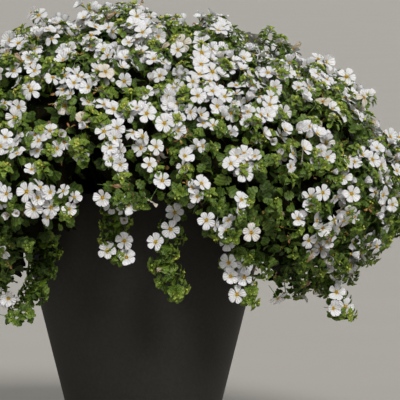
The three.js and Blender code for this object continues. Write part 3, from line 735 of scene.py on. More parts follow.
def lumps(point):
    """How far the mound's surface swells or sinks at a point."""
    return sum(high * noise.noise(point / apart) for high, apart in LUMPS)


def crest(x, y):
    """The part of the solids' height that the leaves take, so that flowers just reach the outline."""
    solids = mound_high(x) * math.sqrt(max(CREST_LEAST, 1 - (x / MOUND_WIDE) ** 2))
    wanted = float(np.interp(x / MM, *zip(*CREST))) * MM - FLOWER_REACH_UP
    fade = max(0, 1 - (y / CREST_FADES) ** 2)
    return CREST_PART + fade * (min(1, wanted / solids) - CREST_PART)


def on_mound(direction):
    """The point of the mound in a direction of the unit ball, and its outward direction there."""
    x, y = direction.x * MOUND_WIDE, direction.y * MOUND_DEEP
    high = mound_high(x) * crest(x, y) if direction.z > 0 else MOUND_DROP
    axes = Vector((MOUND_WIDE - FLOWER_REACH, MOUND_DEEP - FLOWER_REACH, high))
    arm = Vector((direction.x * axes.x, direction.y * axes.y, direction.z * axes.z))
    outwards = Vector((arm.x / axes.x ** 2, arm.y / axes.y ** 2, arm.z / axes.z ** 2)).normalized()
    return arm + Vector((0, 0, RIM_Z)), outwards


def hem(point):
    """How low the mound hangs at a point."""
    if point.y < 0:
        low = float(np.interp(point.x / MM, *zip(*HEM_FRONT)))
    else:
        low = HEM_BACK
    return RIM_Z + (low + HEM_WAVE * noise.noise(point / HEM_WAVE_APART)) * MM


def in_places(point, places, wider):
    """Whether a point lies in one of some round places of the mound's front, or as near as wider to it."""
    if point.y > FRONT_PLACES_END:
        return False
    return any(
        math.hypot(point.x / MM - x, (point.z - RIM_Z) / MM - height) < radius + wider
        for x, height, radius in places
    )


def spread(count, seed, nudge):
    """Points of the mound above its hem, evenly spread and nudged, each with its outward direction."""
    draw = random.Random(seed)
    for i in range(count):
        z = 1 - 2 * (i + 0.5) / count
        flat = math.sqrt(1 - z * z)
        turn = i * GOLDEN_TURN + seed
        direction = ring_point(turn, flat, z) + random_step(draw, nudge)
        point, outwards = on_mound(direction.normalized())
        if point.z > hem(point):
            yield point + outwards * lumps(point), outwards, draw


class Growth:
    """A piece that is grown from copies of small shapes."""

    def __init__(self, name, nodes, material, slot):
        self.name, self.nodes, self.material, self.slot = name, nodes, material, slot
        self.bm = new_shape()

    def add(self, shape, place, colour):
        """Adds a copy of a shape, with its colour value moved up by colour."""
        copy = shape.copy()
        copy.transform(place)
        data = copy.attributes["growth"].data
        values = np.empty(4 * len(data), np.float32)
        data.foreach_get("color", values)
        values[2::4] += colour
        data.foreach_set("color", values)
        self.bm.from_mesh(copy)
        bpy.data.meshes.remove(copy)

    def finish(self):
        """Makes the piece, which takes the place of its nodes of the solids."""
        piece = put(self.name, as_mesh(self.bm, self.name, self.material))
        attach(piece, "root")
        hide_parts(*self.nodes)


def make_tube(points, radius, sides, colour):
    """A closed stem through points, thinner at its tip."""
    bm = new_shape()
    foot = bmesh.ops.create_circle(bm, segments=sides, radius=radius, cap_ends=True)["verts"]
    heading = points[1] - points[0]
    bmesh.ops.transform(bm, matrix=Matrix.Translation(points[0]) @ along_z(heading), verts=foot)
    end = list(bm.faces)[0]
    thin = 1 - STEM_THINS / len(points)
    for number in range(1, len(points)):
        before, here = points[number - 1], points[number]
        onwards = points[min(number + 1, len(points) - 1)] - before
        bend = heading.rotation_difference(onwards).to_matrix().to_4x4()
        heading = onwards
        made = bmesh.ops.extrude_face_region(bm, geom=[end], use_keep_orig=number == 1)["geom"]
        end = next(item for item in made if isinstance(item, bmesh.types.BMFace))
        place = Matrix.Translation(here) @ bend @ Matrix.Scale(thin, 4) @ Matrix.Translation(-before)
        bmesh.ops.transform(bm, matrix=place, verts=list(end.verts))
    paint(bm, bm.verts, colour)
    return finish_shape(bm, "tube")


def smooth_route(points, steps):
    """A rounded route that passes through each of a few points."""
    ends = [points[0] * 2 - points[1], *points, points[-1] * 2 - points[-2]]
    route = []
    for a, b, c, d in zip(ends, ends[1:], ends[2:], ends[3:]):
        for step in range(steps):
            t = step / steps
            route.append(0.5 * (
                2 * b + (c - a) * t + (2 * a - 5 * b + 4 * c - d) * t * t + (3 * b - a - 3 * c + d) * t ** 3
            ))
    return route + [points[-1]]


def make_shade_shell(number):
    """The dark inside of one head, painted near black as painted shade: its share of a crumpled shell under
    the leaves.
    """
    bm = new_shape()
    bmesh.ops.create_icosphere(bm, subdivisions=CORE_FINE, radius=1)
    for vert in bm.verts:
        point, outwards = on_mound(vert.co.normalized())
        crumple = lumps(point) + CORE_CRUMPLE * noise.noise(point / CORE_CRUMPLE_APART)
        if in_places(point, HOLLOWS, 0):
            crumple -= HOLLOW_DEPTH
        vert.co = point + outwards * (crumple - CORE_DEPTH)
    # painted shade: the whole shell is painted near black
    paint(bm, bm.verts, HUE_SHADE_SHELL)

    def wanted(face):
        middle = face.calc_center_median()
        return middle.z > hem(middle) + CORE_OVER_HEM and nearest_head(middle) == number

    unwanted = [face for face in bm.faces if not wanted(face)]
    bmesh.ops.delete(bm, geom=unwanted, context="FACES")
    bmesh.ops.recalc_face_normals(bm, faces=bm.faces)
    bmesh.ops.solidify(bm, geom=bm.faces, thickness=CORE_SHELL)
    return finish_shape(bm, "core")


def head_stems(head, draw):
    """Routes of the stems that carry a head, from the soil to places under its leaves."""
    _, outwards = mound_at(head["middle"])
    across = outwards.cross(UP) if abs(outwards.z) < NEARLY_UP else Vector((1, 0, 0))
    along = outwards.cross(across)
    for number in range(STEMS_PER_HEAD):
        aside = [draw.uniform(-STEM_FOOT_SPREAD, STEM_FOOT_SPREAD) for _ in range(2)]
        foot = head["foot"] + Vector((*aside, -STEM_SUNK)) * MM
        reach = 0 if number == 0 else STEM_SPREAD
        side = across * draw.uniform(-reach, reach) + along * draw.uniform(-reach, reach)
        end, end_out = mound_at(head["middle"] + side)
        end -= end_out * (CORE_DEPTH - STEM_INTO_CORE)
        if head["ring"] == OPEN_RING:
            azimuth = head["azimuth"] + draw.uniform(-STEM_FAN, STEM_FAN)
            bend = ring_point(azimuth, RIM_R, RIM_Z + OVER_RIM * MM)
        else:
            bend = foot.lerp(end, STEM_BEND_OUT)
            bend.z = foot.z + STEM_BEND_UP * (end.z - foot.z)
        yield smooth_route([foot, bend, end], STEM_STEPS)


def mound_at(point):
    """The mound's surface where the line from the rim's middle through a point meets it."""
    arm = point - Vector((0, 0, RIM_Z))
    high = mound_high(point.x) if arm.z > 0 else MOUND_DROP
    return on_mound(Vector((arm.x / MOUND_WIDE, arm.y / MOUND_DEEP, arm.z / high)).normalized())


# Pieces

def make_planter(material):
    """The tapered pot: a profile spun round, with drain holes through its floor."""
    bm = bmesh.new()
    foot_r = RIM_R - TAPER * RIM_Z

    def inner(z):
        return RIM_R - TAPER * (RIM_Z - z) - WALL

    profile = [
        (foot_r - EDGE, 0), (foot_r - SOFT, SOFT), (foot_r + TAPER * EDGE, EDGE),
        (RIM_R - (1 - WALL_RING) * RIM_Z * TAPER, WALL_RING * RIM_Z),
        (RIM_R - TAPER * EDGE, RIM_Z - EDGE), (RIM_R - SOFT, RIM_Z - SOFT), (RIM_R - EDGE, RIM_Z),
        (RIM_R - WALL + EDGE, RIM_Z), (RIM_R - WALL + SOFT_INSIDE, RIM_Z - SOFT),
        (inner(RIM_Z - EDGE), RIM_Z - EDGE), (inner(FLOOR + EDGE), FLOOR + EDGE),
        (inner(FLOOR) - EDGE, FLOOR),
    ]
    verts = [bm.verts.new((radius, 0, z)) for radius, z in profile]
    edges = [bm.edges.new(pair) for pair in zip(verts, verts[1:])]
    bmesh.ops.spin(
        bm, geom=verts + edges, axis=(0, 0, 1), cent=(0, 0, 0), angle=2 * math.pi, steps=POT_STEPS,
        use_merge=True,
    )
    bmesh.ops.remove_doubles(bm, verts=bm.verts, dist=MERGE)
    rims = [edge for edge in bm.edges if edge.is_boundary]
    bmesh.ops.holes_fill(bm, edges=rims, sides=0)
    bmesh.ops.recalc_face_normals(bm, faces=bm.faces)
    for face in bm.faces:
        face.smooth = len(face.verts) == 4
    planter = put("planter", as_mesh(bm, "planter", material))
    cut_drains(planter)
    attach(planter, "root")
    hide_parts("pot")


def cut_drains(planter):
    """Cuts the drain holes and leaves the planter as a plain mesh."""
    bm = bmesh.new()
    for number in range(DRAINS):
        spot = ring_point(number * 2 * math.pi / DRAINS, DRAIN_RING)
        bmesh.ops.create_cone(
            bm, segments=DRAIN_SIDES, radius1=DRAIN_R, radius2=DRAIN_R, depth=4 * FLOOR, cap_ends=True,
            matrix=Matrix.Translation(spot),
        )
    drains = put("drains", as_mesh(bm, "drains"))
    cut = planter.modifiers.new("drains", "BOOLEAN")
    cut.object = drains
    cut.solver = "EXACT"
    bpy.context.view_layer.update()
    evaluated = planter.evaluated_get(bpy.context.evaluated_depsgraph_get())
    cut_mesh = bpy.data.meshes.new_from_object(evaluated)
    planter.modifiers.clear()
    planter.data = cut_mesh
    bpy.data.objects.remove(drains)


def shoot_flowers(tip, outwards, draw):
    """Where the flowers round one leafy tip stand, and where they face."""
    height = (tip.z - RIM_Z) / MM
    wanted = np.interp(height, *zip(*BLOOM_BY_HEIGHT)) * np.interp(tip.x / MM, *zip(*BLOOM_BY_X))
    wanted *= 1 + FLOWERS_PATCHY * noise.noise(tip / PATCHES_APART)
    across = outwards.cross(ASKEW).normalized()
    along = outwards.cross(across)
    for _ in range(round(draw.uniform(*SHOOT_FLOWERS) * wanted)):
        turn = draw.uniform(0, 2 * math.pi)
        side = across * math.cos(turn) + along * math.sin(turn)
        spot = tip + (side * draw.uniform(*FLOWER_SIDES) + outwards * draw.uniform(*FLOWER_OUT)) * MM
        bare = in_places(spot, HOLLOWS, HOLLOW_FLOWERS) or in_places(spot, GREEN_PLACES, 0)
        if not bare and spot.z > hem(spot) - FLOWERS_UNDER_HEM:
            yield spot, flower_heading(spot, outwards, side * draw.uniform(*FLOWER_TURN)), draw


def flower_heading(spot, outwards, side):
    """Where a flower faces: outwards, a little level, and in front a little to the light."""
    level = Vector((spot.x, spot.y, 0)).normalized()
    in_front = min(1, max(0, (FRONT_ENDS - spot.y) / FRONT_ENDS))
    return outwards + level * FLOWERS_LEVEL + TO_LIGHT * in_front + side


def front_of_mound(x, height):
    """The mound's front at a distance to the right and a height over the rim, and its outward direction."""
    high = mound_high(x) * crest(x, FRONT_CREST_Y) if height > 0 else MOUND_DROP
    across, up = x / MOUND_WIDE, height / high
    ahead = -math.sqrt(max(SIDE_LEAST, 1 - across ** 2 - up ** 2))
    return on_mound(Vector((across, ahead, up)).normalized())


def full_flowers():
    """Where the flowers of the full places stand and face. Below the rim they stand less proud."""
    draw = random.Random(9)
    for x, height, radius in FULL_PLACES:
        count = round(radius ** 2 / FULL_SPACE)
        for number in range(count):
            reach, turn = radius * math.sqrt((number + 0.5) / count), number * GOLDEN_TURN
            side = Vector((math.cos(turn), 0, math.sin(turn)))
            point, outwards = front_of_mound((x + reach * side.x) * MM, (height + reach * side.z) * MM)
            proud = draw.uniform(*(FULL_PROUD_LOW if height < 0 else FULL_PROUD))
            heading = flower_heading(point, outwards, side * draw.uniform(*FULL_TURN))
            yield point + outwards * proud * MM, heading, draw


def beside(tip, outwards, draw):
    """A place close to a leafy tip, turned anyhow."""
    aside = Vector([draw.uniform(-BESIDE, BESIDE) for _ in range(3)])
    spot = tip + (aside - outwards * BESIDE_DEPTH) * MM
    return place_at(spot, outwards, draw, BESIDE_LEAN)


def proud_shoots(foliage):
    """Grows the shoots that stand out of the outline and gives the places of their flowers."""
    draw = random.Random(8)
    spots = []
    for x, height, blooms in PROUD_SHOOTS:
        tip = Vector((x * MM, 0, RIM_Z + height * MM))
        outwards = Vector((x * MM / MOUND_WIDE, *PROUD_HEADING)).normalized()
        place = place_at(tip, outwards, draw, PROUD_LEAN)
        foliage[nearest_head(tip)].add(draw.choice(TIPS), place, HUE_TIP)
        for number in range(blooms):
            right = PROUD_STEP * number - PROUD_START * blooms
            side = Vector((right, PROUD_FRONT, PROUD_TOP - PROUD_FALL * number))
            spot = tip + side * PROUD_FLOWERS_APART + outwards * PROUD_FLOWERS_OUT
            spots.append((spot, side + outwards, draw))
    return spots


def keep_apart(spots, apart):
    """Leaves out each flower that stands too near to one before it."""
    tree = kdtree.KDTree(len(spots))
    for number, (spot, _, _) in enumerate(spots):
        tree.insert(spot, number)
    tree.balance()
    left_out = set()
    for number, spot in enumerate(spots):
        if number not in left_out:
            left_out.update(other for _, other, _ in tree.find_range(spot[0], apart) if other > number)
            yield spot


def painted_shade_at(point):
    """How much darker the leaves are painted at a point's height, as painted shade low on the mound."""
    return np.interp((point.z - RIM_Z) / MM, *zip(*PAINTED_SHADE_BY_HEIGHT))


def start_heads(leaf_finish, petal_finish):
    """The two pieces of each head. Its leaves start with its core and its stems."""
    foliage, flowers = [], []
    for number, head in enumerate(HEADS):
        label = f"{number + 1:02d}"
        leafy = Growth(f"foliage_{label}", [f"leafy_head_{label}"], leaf_finish, "leaf")
        leafy.add(make_shade_shell(number), Matrix.Identity(4), 0)
        for route in head_stems(head, random.Random(100 + number)):
            leafy.add(make_tube(route, STEM_R, STEM_SIDES, HUE_STEM), Matrix.Identity(4), 0)
        foliage.append(leafy)
        flowers.append(Growth(f"flowers_{label}", [f"head_blooms_{label}"], petal_finish, "petal"))
    return foliage, flowers


def grow_deep_leaves(foliage):
    """The leaves under the others, painted dark as painted shade, and darker the deeper they lie."""
    for point, outwards, draw in spread(DEEP_LEAF_SPOTS, 3, LEAF_NUDGE):
        deep = draw.uniform(*DEEP_LEAF_DEPTHS)
        if in_places(point, HOLLOWS, 0):
            deep += HOLLOW_LEAF_DEPTH
        place = place_at(point - outwards * deep * MM, outwards, draw, DEEP_LEAF_LEAN)
        size = random_scale(draw, DEEP_LEAF_SIZES)
        # painted shade: the deeper a leaf lies, the darker it is painted
        less_painted_shade = DEEP_LEAF_PAINTED_SHADE * (1 - deep / DEEP_LEAF_DEPTHS[1])
        colour = HUE_DEEP_SHADED + less_painted_shade + draw.uniform(*DEEP_LEAF_HUES)
        foliage[nearest_head(point)].add(draw.choice(DEEP_LEAVES), place @ size, colour)


def grow_leaves(foliage):
    """The leaves of the mound's surface, and a few small dry ones."""
    for point, outwards, draw in spread(LEAF_SPOTS, 4, LEAF_NUDGE):
        if in_places(point, HOLLOWS, HOLLOW_LEAVES):
            continue
        spot = point - outwards * draw.uniform(*LEAF_DEPTHS) * MM
        place = place_at(spot, outwards, draw, LEAF_LEAN)
        size = draw.uniform(*LEAF_SIZES)
        # painted shade: leaves low on the mound are painted darker
        colour = HUE_LEAF - LEAF_PAINTED_SHADE * painted_shade_at(point) + draw.uniform(*LEAF_HUES)
        if draw.random() < DRY_SHARE:
            size, colour = DRY_SIZE, HUE_DRY
        foliage[nearest_head(point)].add(draw.choice(LEAVES), place @ Matrix.Scale(size, 4), colour)


def grow_shoots(foliage, flowers):
    """The leafy tips, with dried, wilted and old flowers beside them. Gives where fresh flowers stand."""
    spots = []
    for number, (point, outwards, _) in enumerate(spread(SHOOT_SPOTS, 5, SHOOT_NUDGE)):
        if in_places(point, HOLLOWS, HOLLOW_TIPS):
            continue
        draw = random.Random(number)
        head = nearest_head(point)
        tip = point - outwards * draw.uniform(*TIP_DEPTHS) * MM
        place = place_at(tip, outwards + UP * TIP_UP, draw, TIP_LEAN) @ random_scale(draw, TIP_SIZES)
        # painted shade: tips low on the mound are painted darker
        hue = HUE_TIP - painted_shade_at(tip) + draw.uniform(*TIP_HUES)
        foliage[head].add(draw.choice(TIPS), place, hue)
        spots += shoot_flowers(tip, outwards, draw)
        if draw.random() < DRIED_FLOWERS:
            place = beside(tip, outwards, draw) @ random_scale(draw, DRIED_SIZES)
            foliage[head].add(draw.choice(DRIED), place, HUE_DRY)
        if draw.random() < WILTED_FLOWERS:
            place = beside(tip, outwards, draw)
            flowers[head].add(FLOWERS["wilted"][0], place, draw.uniform(*WILTED_AGE))
        if draw.random() < OLD_FLOWERS:
            shape = FLOWERS[draw.choice(FLOWER_MIX)][0]
            flowers[head].add(shape, beside(tip, outwards, draw), draw.uniform(*OLD_AGE))
    return proud_shoots(foliage) + list(full_flowers()) + spots


def grow_flowers(flowers, spots):
    """The fresh flowers, of mixed kinds and sizes."""
    for spot, heading, draw in keep_apart(spots, FLOWERS_APART):
        place = place_at(spot, heading, draw, FLOWER_LEAN)
        size = Matrix.Scale(draw.triangular(*FLOWER_SIZES), 4)
        shape = draw.choice(FLOWERS[draw.choice(FLOWER_MIX)])
        flowers[nearest_head(spot)].add(shape, place @ size, draw.uniform(*FLOWER_AGE))


def grow_mound(leaf_finish, petal_finish):
    """Grows all heads, with each leaf, tip and flower on the head that it is nearest to."""
    foliage, flowers = start_heads(leaf_finish, petal_finish)
    grow_deep_leaves(foliage)
    grow_leaves(foliage)
    grow_flowers(flowers, grow_shoots(foliage, flowers))
    for piece in foliage + flowers:
        piece.finish()


def at_height(route, height):
    """The point of a falling route at a height."""
    for above, below in zip(route, route[1:]):
        if above.z >= height >= below.z:
            return above.lerp(below, (above.z - height) / max(above.z - below.z, LEAST_FALL))
    return route[-1].copy()


def add_trail_tips(leafy, trail, falling, outwards, draw):
    """The leafy tips of a trailing stem."""
    for height, turn in trail["tips"]:
        on = at_height(falling, RIM_Z + height * MM)
        heading = Matrix.Rotation(math.radians(turn), 3, "Z") @ outwards - UP * TRAIL_TIP_DROOP
        spot = on + heading.normalized() * TRAIL_TIP_OUT * MM
        place = place_at(spot, heading, draw, TRAIL_TIP_LEAN)
        # painted shade: the tips of a trailing stem are painted darker
        hue = HUE_TIP - trail.get("shade", TRAIL_PAINTED_SHADE) + draw.uniform(*TRAIL_TIP_HUES)
        leafy.add(draw.choice(TIPS), place @ random_scale(draw, TRAIL_TIP_SIZES), hue)


def add_trail_leaves(leafy, falling, outwards, draw):
    """Loose leaves down a trailing stem, in pairs that are each turned a quarter from the one above."""
    top, low = falling[0].z, falling[-1].z
    for number in range(int((top - low) / TRAIL_LEAF_STEP)):
        on = at_height(falling, top - (number + draw.random()) * TRAIL_LEAF_STEP)
        for side in range(2):
            turn = math.pi * side + number * math.pi / 2 + draw.uniform(-TRAIL_LEAF_TURN, TRAIL_LEAF_TURN)
            heading = ring_point(turn, 1, draw.uniform(*TRAIL_LEAF_RISE)).normalized()
            lean = random_step(draw, TRAIL_LEAF_LEAN)
            turned = blade_turn(heading, (UP * TRAIL_LEAF_UP + outwards + lean).normalized())
            colour = HUE_LEAF + draw.uniform(*TRAIL_LEAF_HUES)
            size = random_scale(draw, TRAIL_LEAF_SIZES)
            leafy.add(draw.choice(LEAVES), Matrix.Translation(on) @ turned @ size, colour)


def add_trail_flowers(flowers, trail, falling, outwards, draw):
    """The flowers of a trailing stem, each turned to the side on which it stands."""
    sideways = UP.cross(outwards).normalized()
    for x, height, kind in trail["flowers"]:
        on = at_height(falling, RIM_Z + height * MM)
        side = (x * MM - on.x) / sideways.x
        nod = random_step(draw, TRAIL_FLOWER_NOD)
        heading = (outwards + sideways * side * TRAIL_FLOWER_FAN + nod).normalized()
        spot = on + outwards * TRAIL_FLOWER_OUT * MM + sideways * side
        place = place_at(spot, heading, draw, 0)
        flowers.add(draw.choice(FLOWERS[kind]), place, draw.uniform(*FLOWER_AGE))


def grow_trail(label, trail, leaf_finish, petal_finish):
    """A stem that hangs over the rim, with its leafy tips, loose leaves and flowers."""
    draw = random.Random(label)
    ray = ring_point(math.radians(trail["soil"]), 1)
    outwards = ring_point(math.radians(trail["faces"]), 1, TRAIL_UP).normalized()
    foot = ray * TRAIL_SOIL_R * MM + Vector((0, 0, SOIL_Z - STEM_SUNK * MM))
    over_rim = ray * RIM_R + Vector((0, 0, RIM_Z + OVER_RIM * MM))
    hanging = [Vector((x * MM, y * MM, RIM_Z + height * MM)) for x, y, height in trail["route"]]
    route = smooth_route([foot, over_rim, *hanging], TRAIL_STEPS)
    falling = route[FALLS_FROM:]

    leafy = Growth(f"strand_{label}", [f"trailing_stem_{label}"], leaf_finish, "leaf")
    leafy.add(make_tube(route, TRAIL_STEM_R, TRAIL_STEM_SIDES, HUE_STEM), Matrix.Identity(4), 0)
    add_trail_tips(leafy, trail, falling, outwards, draw)
    add_trail_leaves(leafy, falling, outwards, draw)
    leafy.finish()

    flowers = Growth(f"strand_flowers_{label}", [f"trail_blooms_{label}"], petal_finish, "petal")
    add_trail_flowers(flowers, trail, falling, outwards, draw)
    flowers.finish()


def blade_turn(heading, lay):
    """A turn that sets a blade's length along a heading and its face towards lay."""
    across = heading.cross(lay).normalized()
    face = across.cross(heading)
    return Matrix((across, heading, face)).transposed().to_4x4()


# Finishes

class Nodes:
    """The nodes of a material or a world. A value for a node is a socket of another node or is fixed."""

    def __init__(self, owner):
        owner.use_nodes = True
        self.owner, self.tree = owner, owner.node_tree

    def feed(self, node, inputs):
        """Gives a node its values."""
        for name, value in inputs.items():
            socket = node.inputs[name]
            if isinstance(value, bpy.types.NodeSocket):
                self.tree.links.new(value, socket)
            else:
                socket.default_value = (*value, 1) if socket.type == "RGBA" else value

    def add(self, kind, inputs, **settings):
        """A new node with its values and settings."""
        node = self.tree.nodes.new(kind)
        for name, value in settings.items():
            setattr(node, name, value)
        self.feed(node, inputs)
        return node

    def calc(self, operation, *values):
        """The result of an operation on one or two values."""
        return self.add("ShaderNodeMath", dict(enumerate(values)), operation=operation).outputs[0]

    def mix(self, kind, amount, first, second):
        """A mix of two colours."""
        node = self.add("ShaderNodeMix", {}, data_type="RGBA", blend_type=kind)
        one, other = [number for number, socket in enumerate(node.inputs) if socket.type == "RGBA"]
        self.feed(node, {"Factor": amount, one: first, other: second})
        return next(socket for socket in node.outputs if socket.type == "RGBA")

    def ramp(self, value, stops):
        """The colour that a value has along (place, red, green, blue) stops."""
        node = self.add("ShaderNodeValToRGB", {"Fac": value})
        elements = node.color_ramp.elements
        while len(elements) < len(stops):
            elements.new(0.5)
        for element, (place, *colour) in zip(elements, stops):
            element.position = place
            element.color = (*colour, 1)
        return node.outputs["Color"]

    def noise(self, scale, detail):
        """Noise on the piece's own coordinates, in metres."""
        place = self.add("ShaderNodeTexCoord", {}).outputs["Object"]
        inputs = {"Scale": scale, "Detail": detail, "Vector": place}
        return self.add("ShaderNodeTexNoise", inputs).outputs["Fac"]

    def ranged(self, value, old, new):
        """A value moved from one range to another."""
        inputs = {"Value": value, "From Min": old[0], "From Max": old[1], "To Min": new[0], "To Max": new[1]}
        return self.add("ShaderNodeMapRange", inputs).outputs["Result"]

    def bump(self, height, distance, strength):
        """A fine relief."""
        inputs = {"Height": height, "Distance": distance, "Strength": strength}
        return self.add("ShaderNodeBump", inputs).outputs["Normal"]

    def growth(self):
        """Along, across, colour value and greenness of a grown piece."""
        attribute = self.add("ShaderNodeAttribute", {}, attribute_name="growth").outputs
        parts = self.add("ShaderNodeSeparateColor", {"Color": attribute["Color"]}).outputs
        return parts["Red"], parts["Green"], parts["Blue"], attribute["Alpha"]

    def shade(self, inputs, shader="Principled BSDF"):
        """Gives the shader its values, and gives back the finished material or world."""
        self.feed(self.tree.nodes[shader], inputs)
        return self.owner


def leaf_material():
    """Toothed leaves with sunk veins, from the inside's painted shade to yellow-green tips; buds and dry
    bits too.
    """
    nodes = Nodes(bpy.data.materials.new("bacopa_leaf"))
    along, across, colour, _ = nodes.growth()
    uneven = nodes.calc("SUBTRACT", nodes.noise(LEAF_PATCHES, detail=3), 0.5)
    shift = nodes.calc("MULTIPLY", uneven, LEAF_MOTTLE)
    # painted shade at a leaf's stalk and painted light at its end
    rim = nodes.calc("MULTIPLY", nodes.calc("SUBTRACT", along, 0.5), LEAF_FOOT_PAINTED_SHADE)
    tone = nodes.calc("ADD", colour, nodes.calc("ADD", shift, rim))
    # the lowest stops are near black and dark green: painted shade for the inside and the deep leaves
    green = nodes.ramp(tone, [
        (0.0, 0.008, 0.007, 0.003),
        (0.1, 0.012, 0.016, 0.004),
        (0.28, 0.050, 0.092, 0.010),
        (0.44, 0.108, 0.180, 0.016),
        (0.6, 0.195, 0.290, 0.026),
        (0.72, 0.290, 0.385, 0.050),
        (0.84, 0.620, 0.630, 0.090),
        (0.93, 0.720, 0.600, 0.140),
        (1.0, 0.380, 0.170, 0.060),
    ])
    side = nodes.calc("ABSOLUTE", nodes.calc("SUBTRACT", across, 0.5))
    slant = nodes.calc("SUBTRACT", nodes.calc("MULTIPLY", along, SIDE_VEINS), side)
    wave = nodes.calc("SINE", nodes.calc("MULTIPLY", slant, 2 * math.pi))
    vein = nodes.calc("MINIMUM", nodes.calc("MULTIPLY", side, VEIN_SHARP), 1)
    veins = nodes.calc("ADD", nodes.calc("MULTIPLY", wave, SIDE_VEINS_DEEP), vein)
    relief = nodes.calc("ADD", veins, nodes.calc("MULTIPLY", uneven, LEAF_ROUGH))
    # painted shade: the side veins' creases are painted darker
    crease_shade_mask = nodes.calc("GREATER_THAN", wave, CREASE_FROM)
    return nodes.shade({
        "Base Color": nodes.mix("MULTIPLY", crease_shade_mask, green, CREASE_PAINTED_SHADE),
        "Roughness": 0.52,
        "Specular IOR Level": nodes.ranged(tone, (0.1, 0.4), (0.02, 0.45)),
        "Normal": nodes.bump(relief, distance=0.45 * MM, strength=0.9),
        "Subsurface Weight": 0.12,
        "Subsurface Radius": (0.3, 0.6, 0.1),
        "Subsurface Scale": 2 * MM,
    })


def petal_material():
    """White petals with a golden throat, greyer towards the foot and along faint creases as painted shade,
    on a green tube.
    """
    nodes = Nodes(bpy.data.materials.new("bacopa_petal"))
    along, across, age, green = nodes.growth()
    # the golden throat fades out, and the petal is greyer towards its foot as painted shade where the
    # flower's funnel lies
    fresh = nodes.ramp(along, [
        (0.0, 0.560, 0.270, 0.014),
        (0.04, 0.780, 0.500, 0.050),
        (0.085, 0.850, 0.740, 0.330),
        (0.13, 0.850, 0.840, 0.780),
        (0.3, 0.880, 0.885, 0.905),
        (0.7, 0.915, 0.920, 0.970),
    ])
    withering = nodes.ramp(age, [
        (0.0, 1.0, 1.0, 1.0),
        (0.12, 0.97, 0.96, 0.93),
        (0.38, 0.80, 0.68, 0.48),
        (0.7, 0.52, 0.26, 0.10),
        (1.0, 0.30, 0.12, 0.04),
    ])
    creases = nodes.noise(PETAL_PATCHES, detail=2)
    side = nodes.calc("SUBTRACT", across, 0.5)
    lines = nodes.calc("COSINE", nodes.calc("MULTIPLY", side, PETAL_CREASES))
    # painted shade in the petals' creases, mixed with patches of random tone
    tone = nodes.calc("ADD", nodes.calc("MULTIPLY", lines, PETAL_CREASE_SHADE), creases)
    fine = nodes.ramp(tone, [(0.15, 0.84, 0.84, 0.85), (0.5, 1.0, 1.0, 1.0)])
    white = nodes.mix("MULTIPLY", 1, nodes.mix("MULTIPLY", 1, fresh, withering), fine)
    return nodes.shade({
        "Base Color": nodes.mix("MIX", green, white, TUBE_GREEN),
        "Roughness": 0.6,
        "Normal": nodes.bump(nodes.calc("ADD", lines, creases), distance=0.3 * MM, strength=0.8),
        "Subsurface Weight": 0.25,
        "Subsurface Radius": (1, 1, 1),
        "Subsurface Scale": 1.5 * MM,
    })


def pot_material():
    """Matte charcoal composite, mottled, with a fine grain."""
    nodes = Nodes(bpy.data.materials.new("matte_charcoal"))
    broad, fine = nodes.noise(POT_PATCHES, detail=5), nodes.noise(POT_GRAIN, detail=4)
    mottle = nodes.ramp(broad, [(0.3, 0.0130, 0.0115, 0.0087), (0.7, 0.0225, 0.0200, 0.0156)])
    grain = nodes.ramp(fine, [(0.35, 0.82, 0.82, 0.82), (0.65, 1.15, 1.14, 1.12)])
    return nodes.shade({
        "Base Color": nodes.mix("MULTIPLY", 1, mottle, grain),
        "Roughness": nodes.ranged(broad, (0, 1), (0.66, 0.88)),
        "Normal": nodes.bump(fine, distance=0.25 * MM, strength=0.5),
    })


def soil_material():
    """Dark crumbly potting mix with a few pale grains."""
    nodes = Nodes(bpy.data.materials.new("potting_mix"))
    crumbs = nodes.noise(SOIL_CRUMBS, detail=6)
    stops = [(0.35, 0.008, 0.006, 0.004), (0.6, 0.035, 0.024, 0.016), (0.72, 0.20, 0.17, 0.13)]
    return nodes.shade({
        "Base Color": nodes.ramp(crumbs, stops),
        "Roughness": 0.95,
        "Normal": nodes.bump(crumbs, distance=3 * MM, strength=1),
    })


def floor_material():
    """Plain pale paint, hardly uneven."""
    nodes = Nodes(bpy.data.materials.new("pale_floor"))
    stops = [(0.3, *[part * FLOOR_UNEVEN for part in FLOOR_COLOUR]), (0.7, *FLOOR_COLOUR)]
    colour = nodes.ramp(nodes.noise(FLOOR_PATCHES, detail=2), stops)
    return nodes.shade({"Base Color": colour, "Roughness": 0.9})


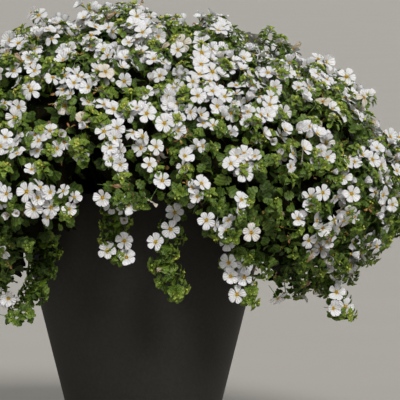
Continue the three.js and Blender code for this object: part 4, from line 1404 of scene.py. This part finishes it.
def room_light():
    """The light of the room: as pale as the floor at the horizon, and dimmer above."""
    nodes = Nodes(bpy.data.worlds.new("soft_room"))
    direction = nodes.add("ShaderNodeTexCoord", {}).outputs["Generated"]
    height = nodes.add("ShaderNodeSeparateXYZ", {"Vector": direction}).outputs["Z"]
    stops = [(0.0, *HORIZON), (0.03, *HORIZON), (0.2, *ROOM)]
    return nodes.shade({"Color": nodes.ramp(height, stops)}, "Background")


# Stage, light and camera

def make_stage():
    """A plain pale floor, so wide that no view sees past it."""
    bm = bmesh.new()
    bmesh.ops.create_grid(bm, x_segments=1, y_segments=1, size=FLOOR_WIDE / 2)
    floor = put("floor", as_mesh(bm, "floor", floor_material()))
    floor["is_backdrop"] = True


def look_along(thing, heading):
    """Turns a lamp or the camera along a heading."""
    thing.rotation_euler = heading.to_track_quat("-Z", "Y").to_euler()


def add_light(name, kind, heading, energy, colour):
    """A lamp that shines along a heading."""
    light = put(name, bpy.data.lights.new(name, kind))
    light.data.energy, light.data.color = energy, colour
    look_along(light, heading)
    return light


def make_lights():
    """Soft light from above the camera, the same near and far, a weak fill, and some light from behind."""
    for name, heading, energy, softness, colour in SUNS:
        sun = add_light(name, "SUN", Vector(heading), energy, colour)
        sun.data.angle = math.radians(softness)
    fill = add_light("fill", "AREA", FILL_AIM - FILL_PLACE, FILL_POWER, FILL_COLOUR)
    fill.location = FILL_PLACE
    fill.data.size = FILL_WIDE


def make_camera():
    """The camera looks at the plant from the front, a little from above."""
    camera = put("camera", bpy.data.cameras.new("camera"))
    camera.data.sensor_width = SENSOR
    camera.data.lens = SENSOR * CAMERA_FAR / VIEW_WIDTH
    camera.data.clip_start, camera.data.clip_end = CAMERA_NEAR, FLOOR_WIDE
    rise = math.radians(CAMERA_RISE)
    back = Vector((0, -math.cos(rise), math.sin(rise)))
    camera.location = CAMERA_AIM + back * CAMERA_FAR
    look_along(camera, -back)
    bpy.context.scene.camera = camera


bpy.context.scene.view_settings.view_transform = "Standard"
make_stage()
make_lights()
bpy.context.scene.world = room_light()
make_camera()
leaf_finish, petal_finish = leaf_material(), petal_material()
make_planter(pot_material())
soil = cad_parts["soil"]
soil.data.materials.clear()
soil.data.materials.append(soil_material())
grow_mound(leaf_finish, petal_finish)
for label, trail in TRAILS.items():
    grow_trail(label, trail, leaf_finish, petal_finish)

made_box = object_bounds()
[[list(corner) for corner in box] for box in (cad_box, made_box)]
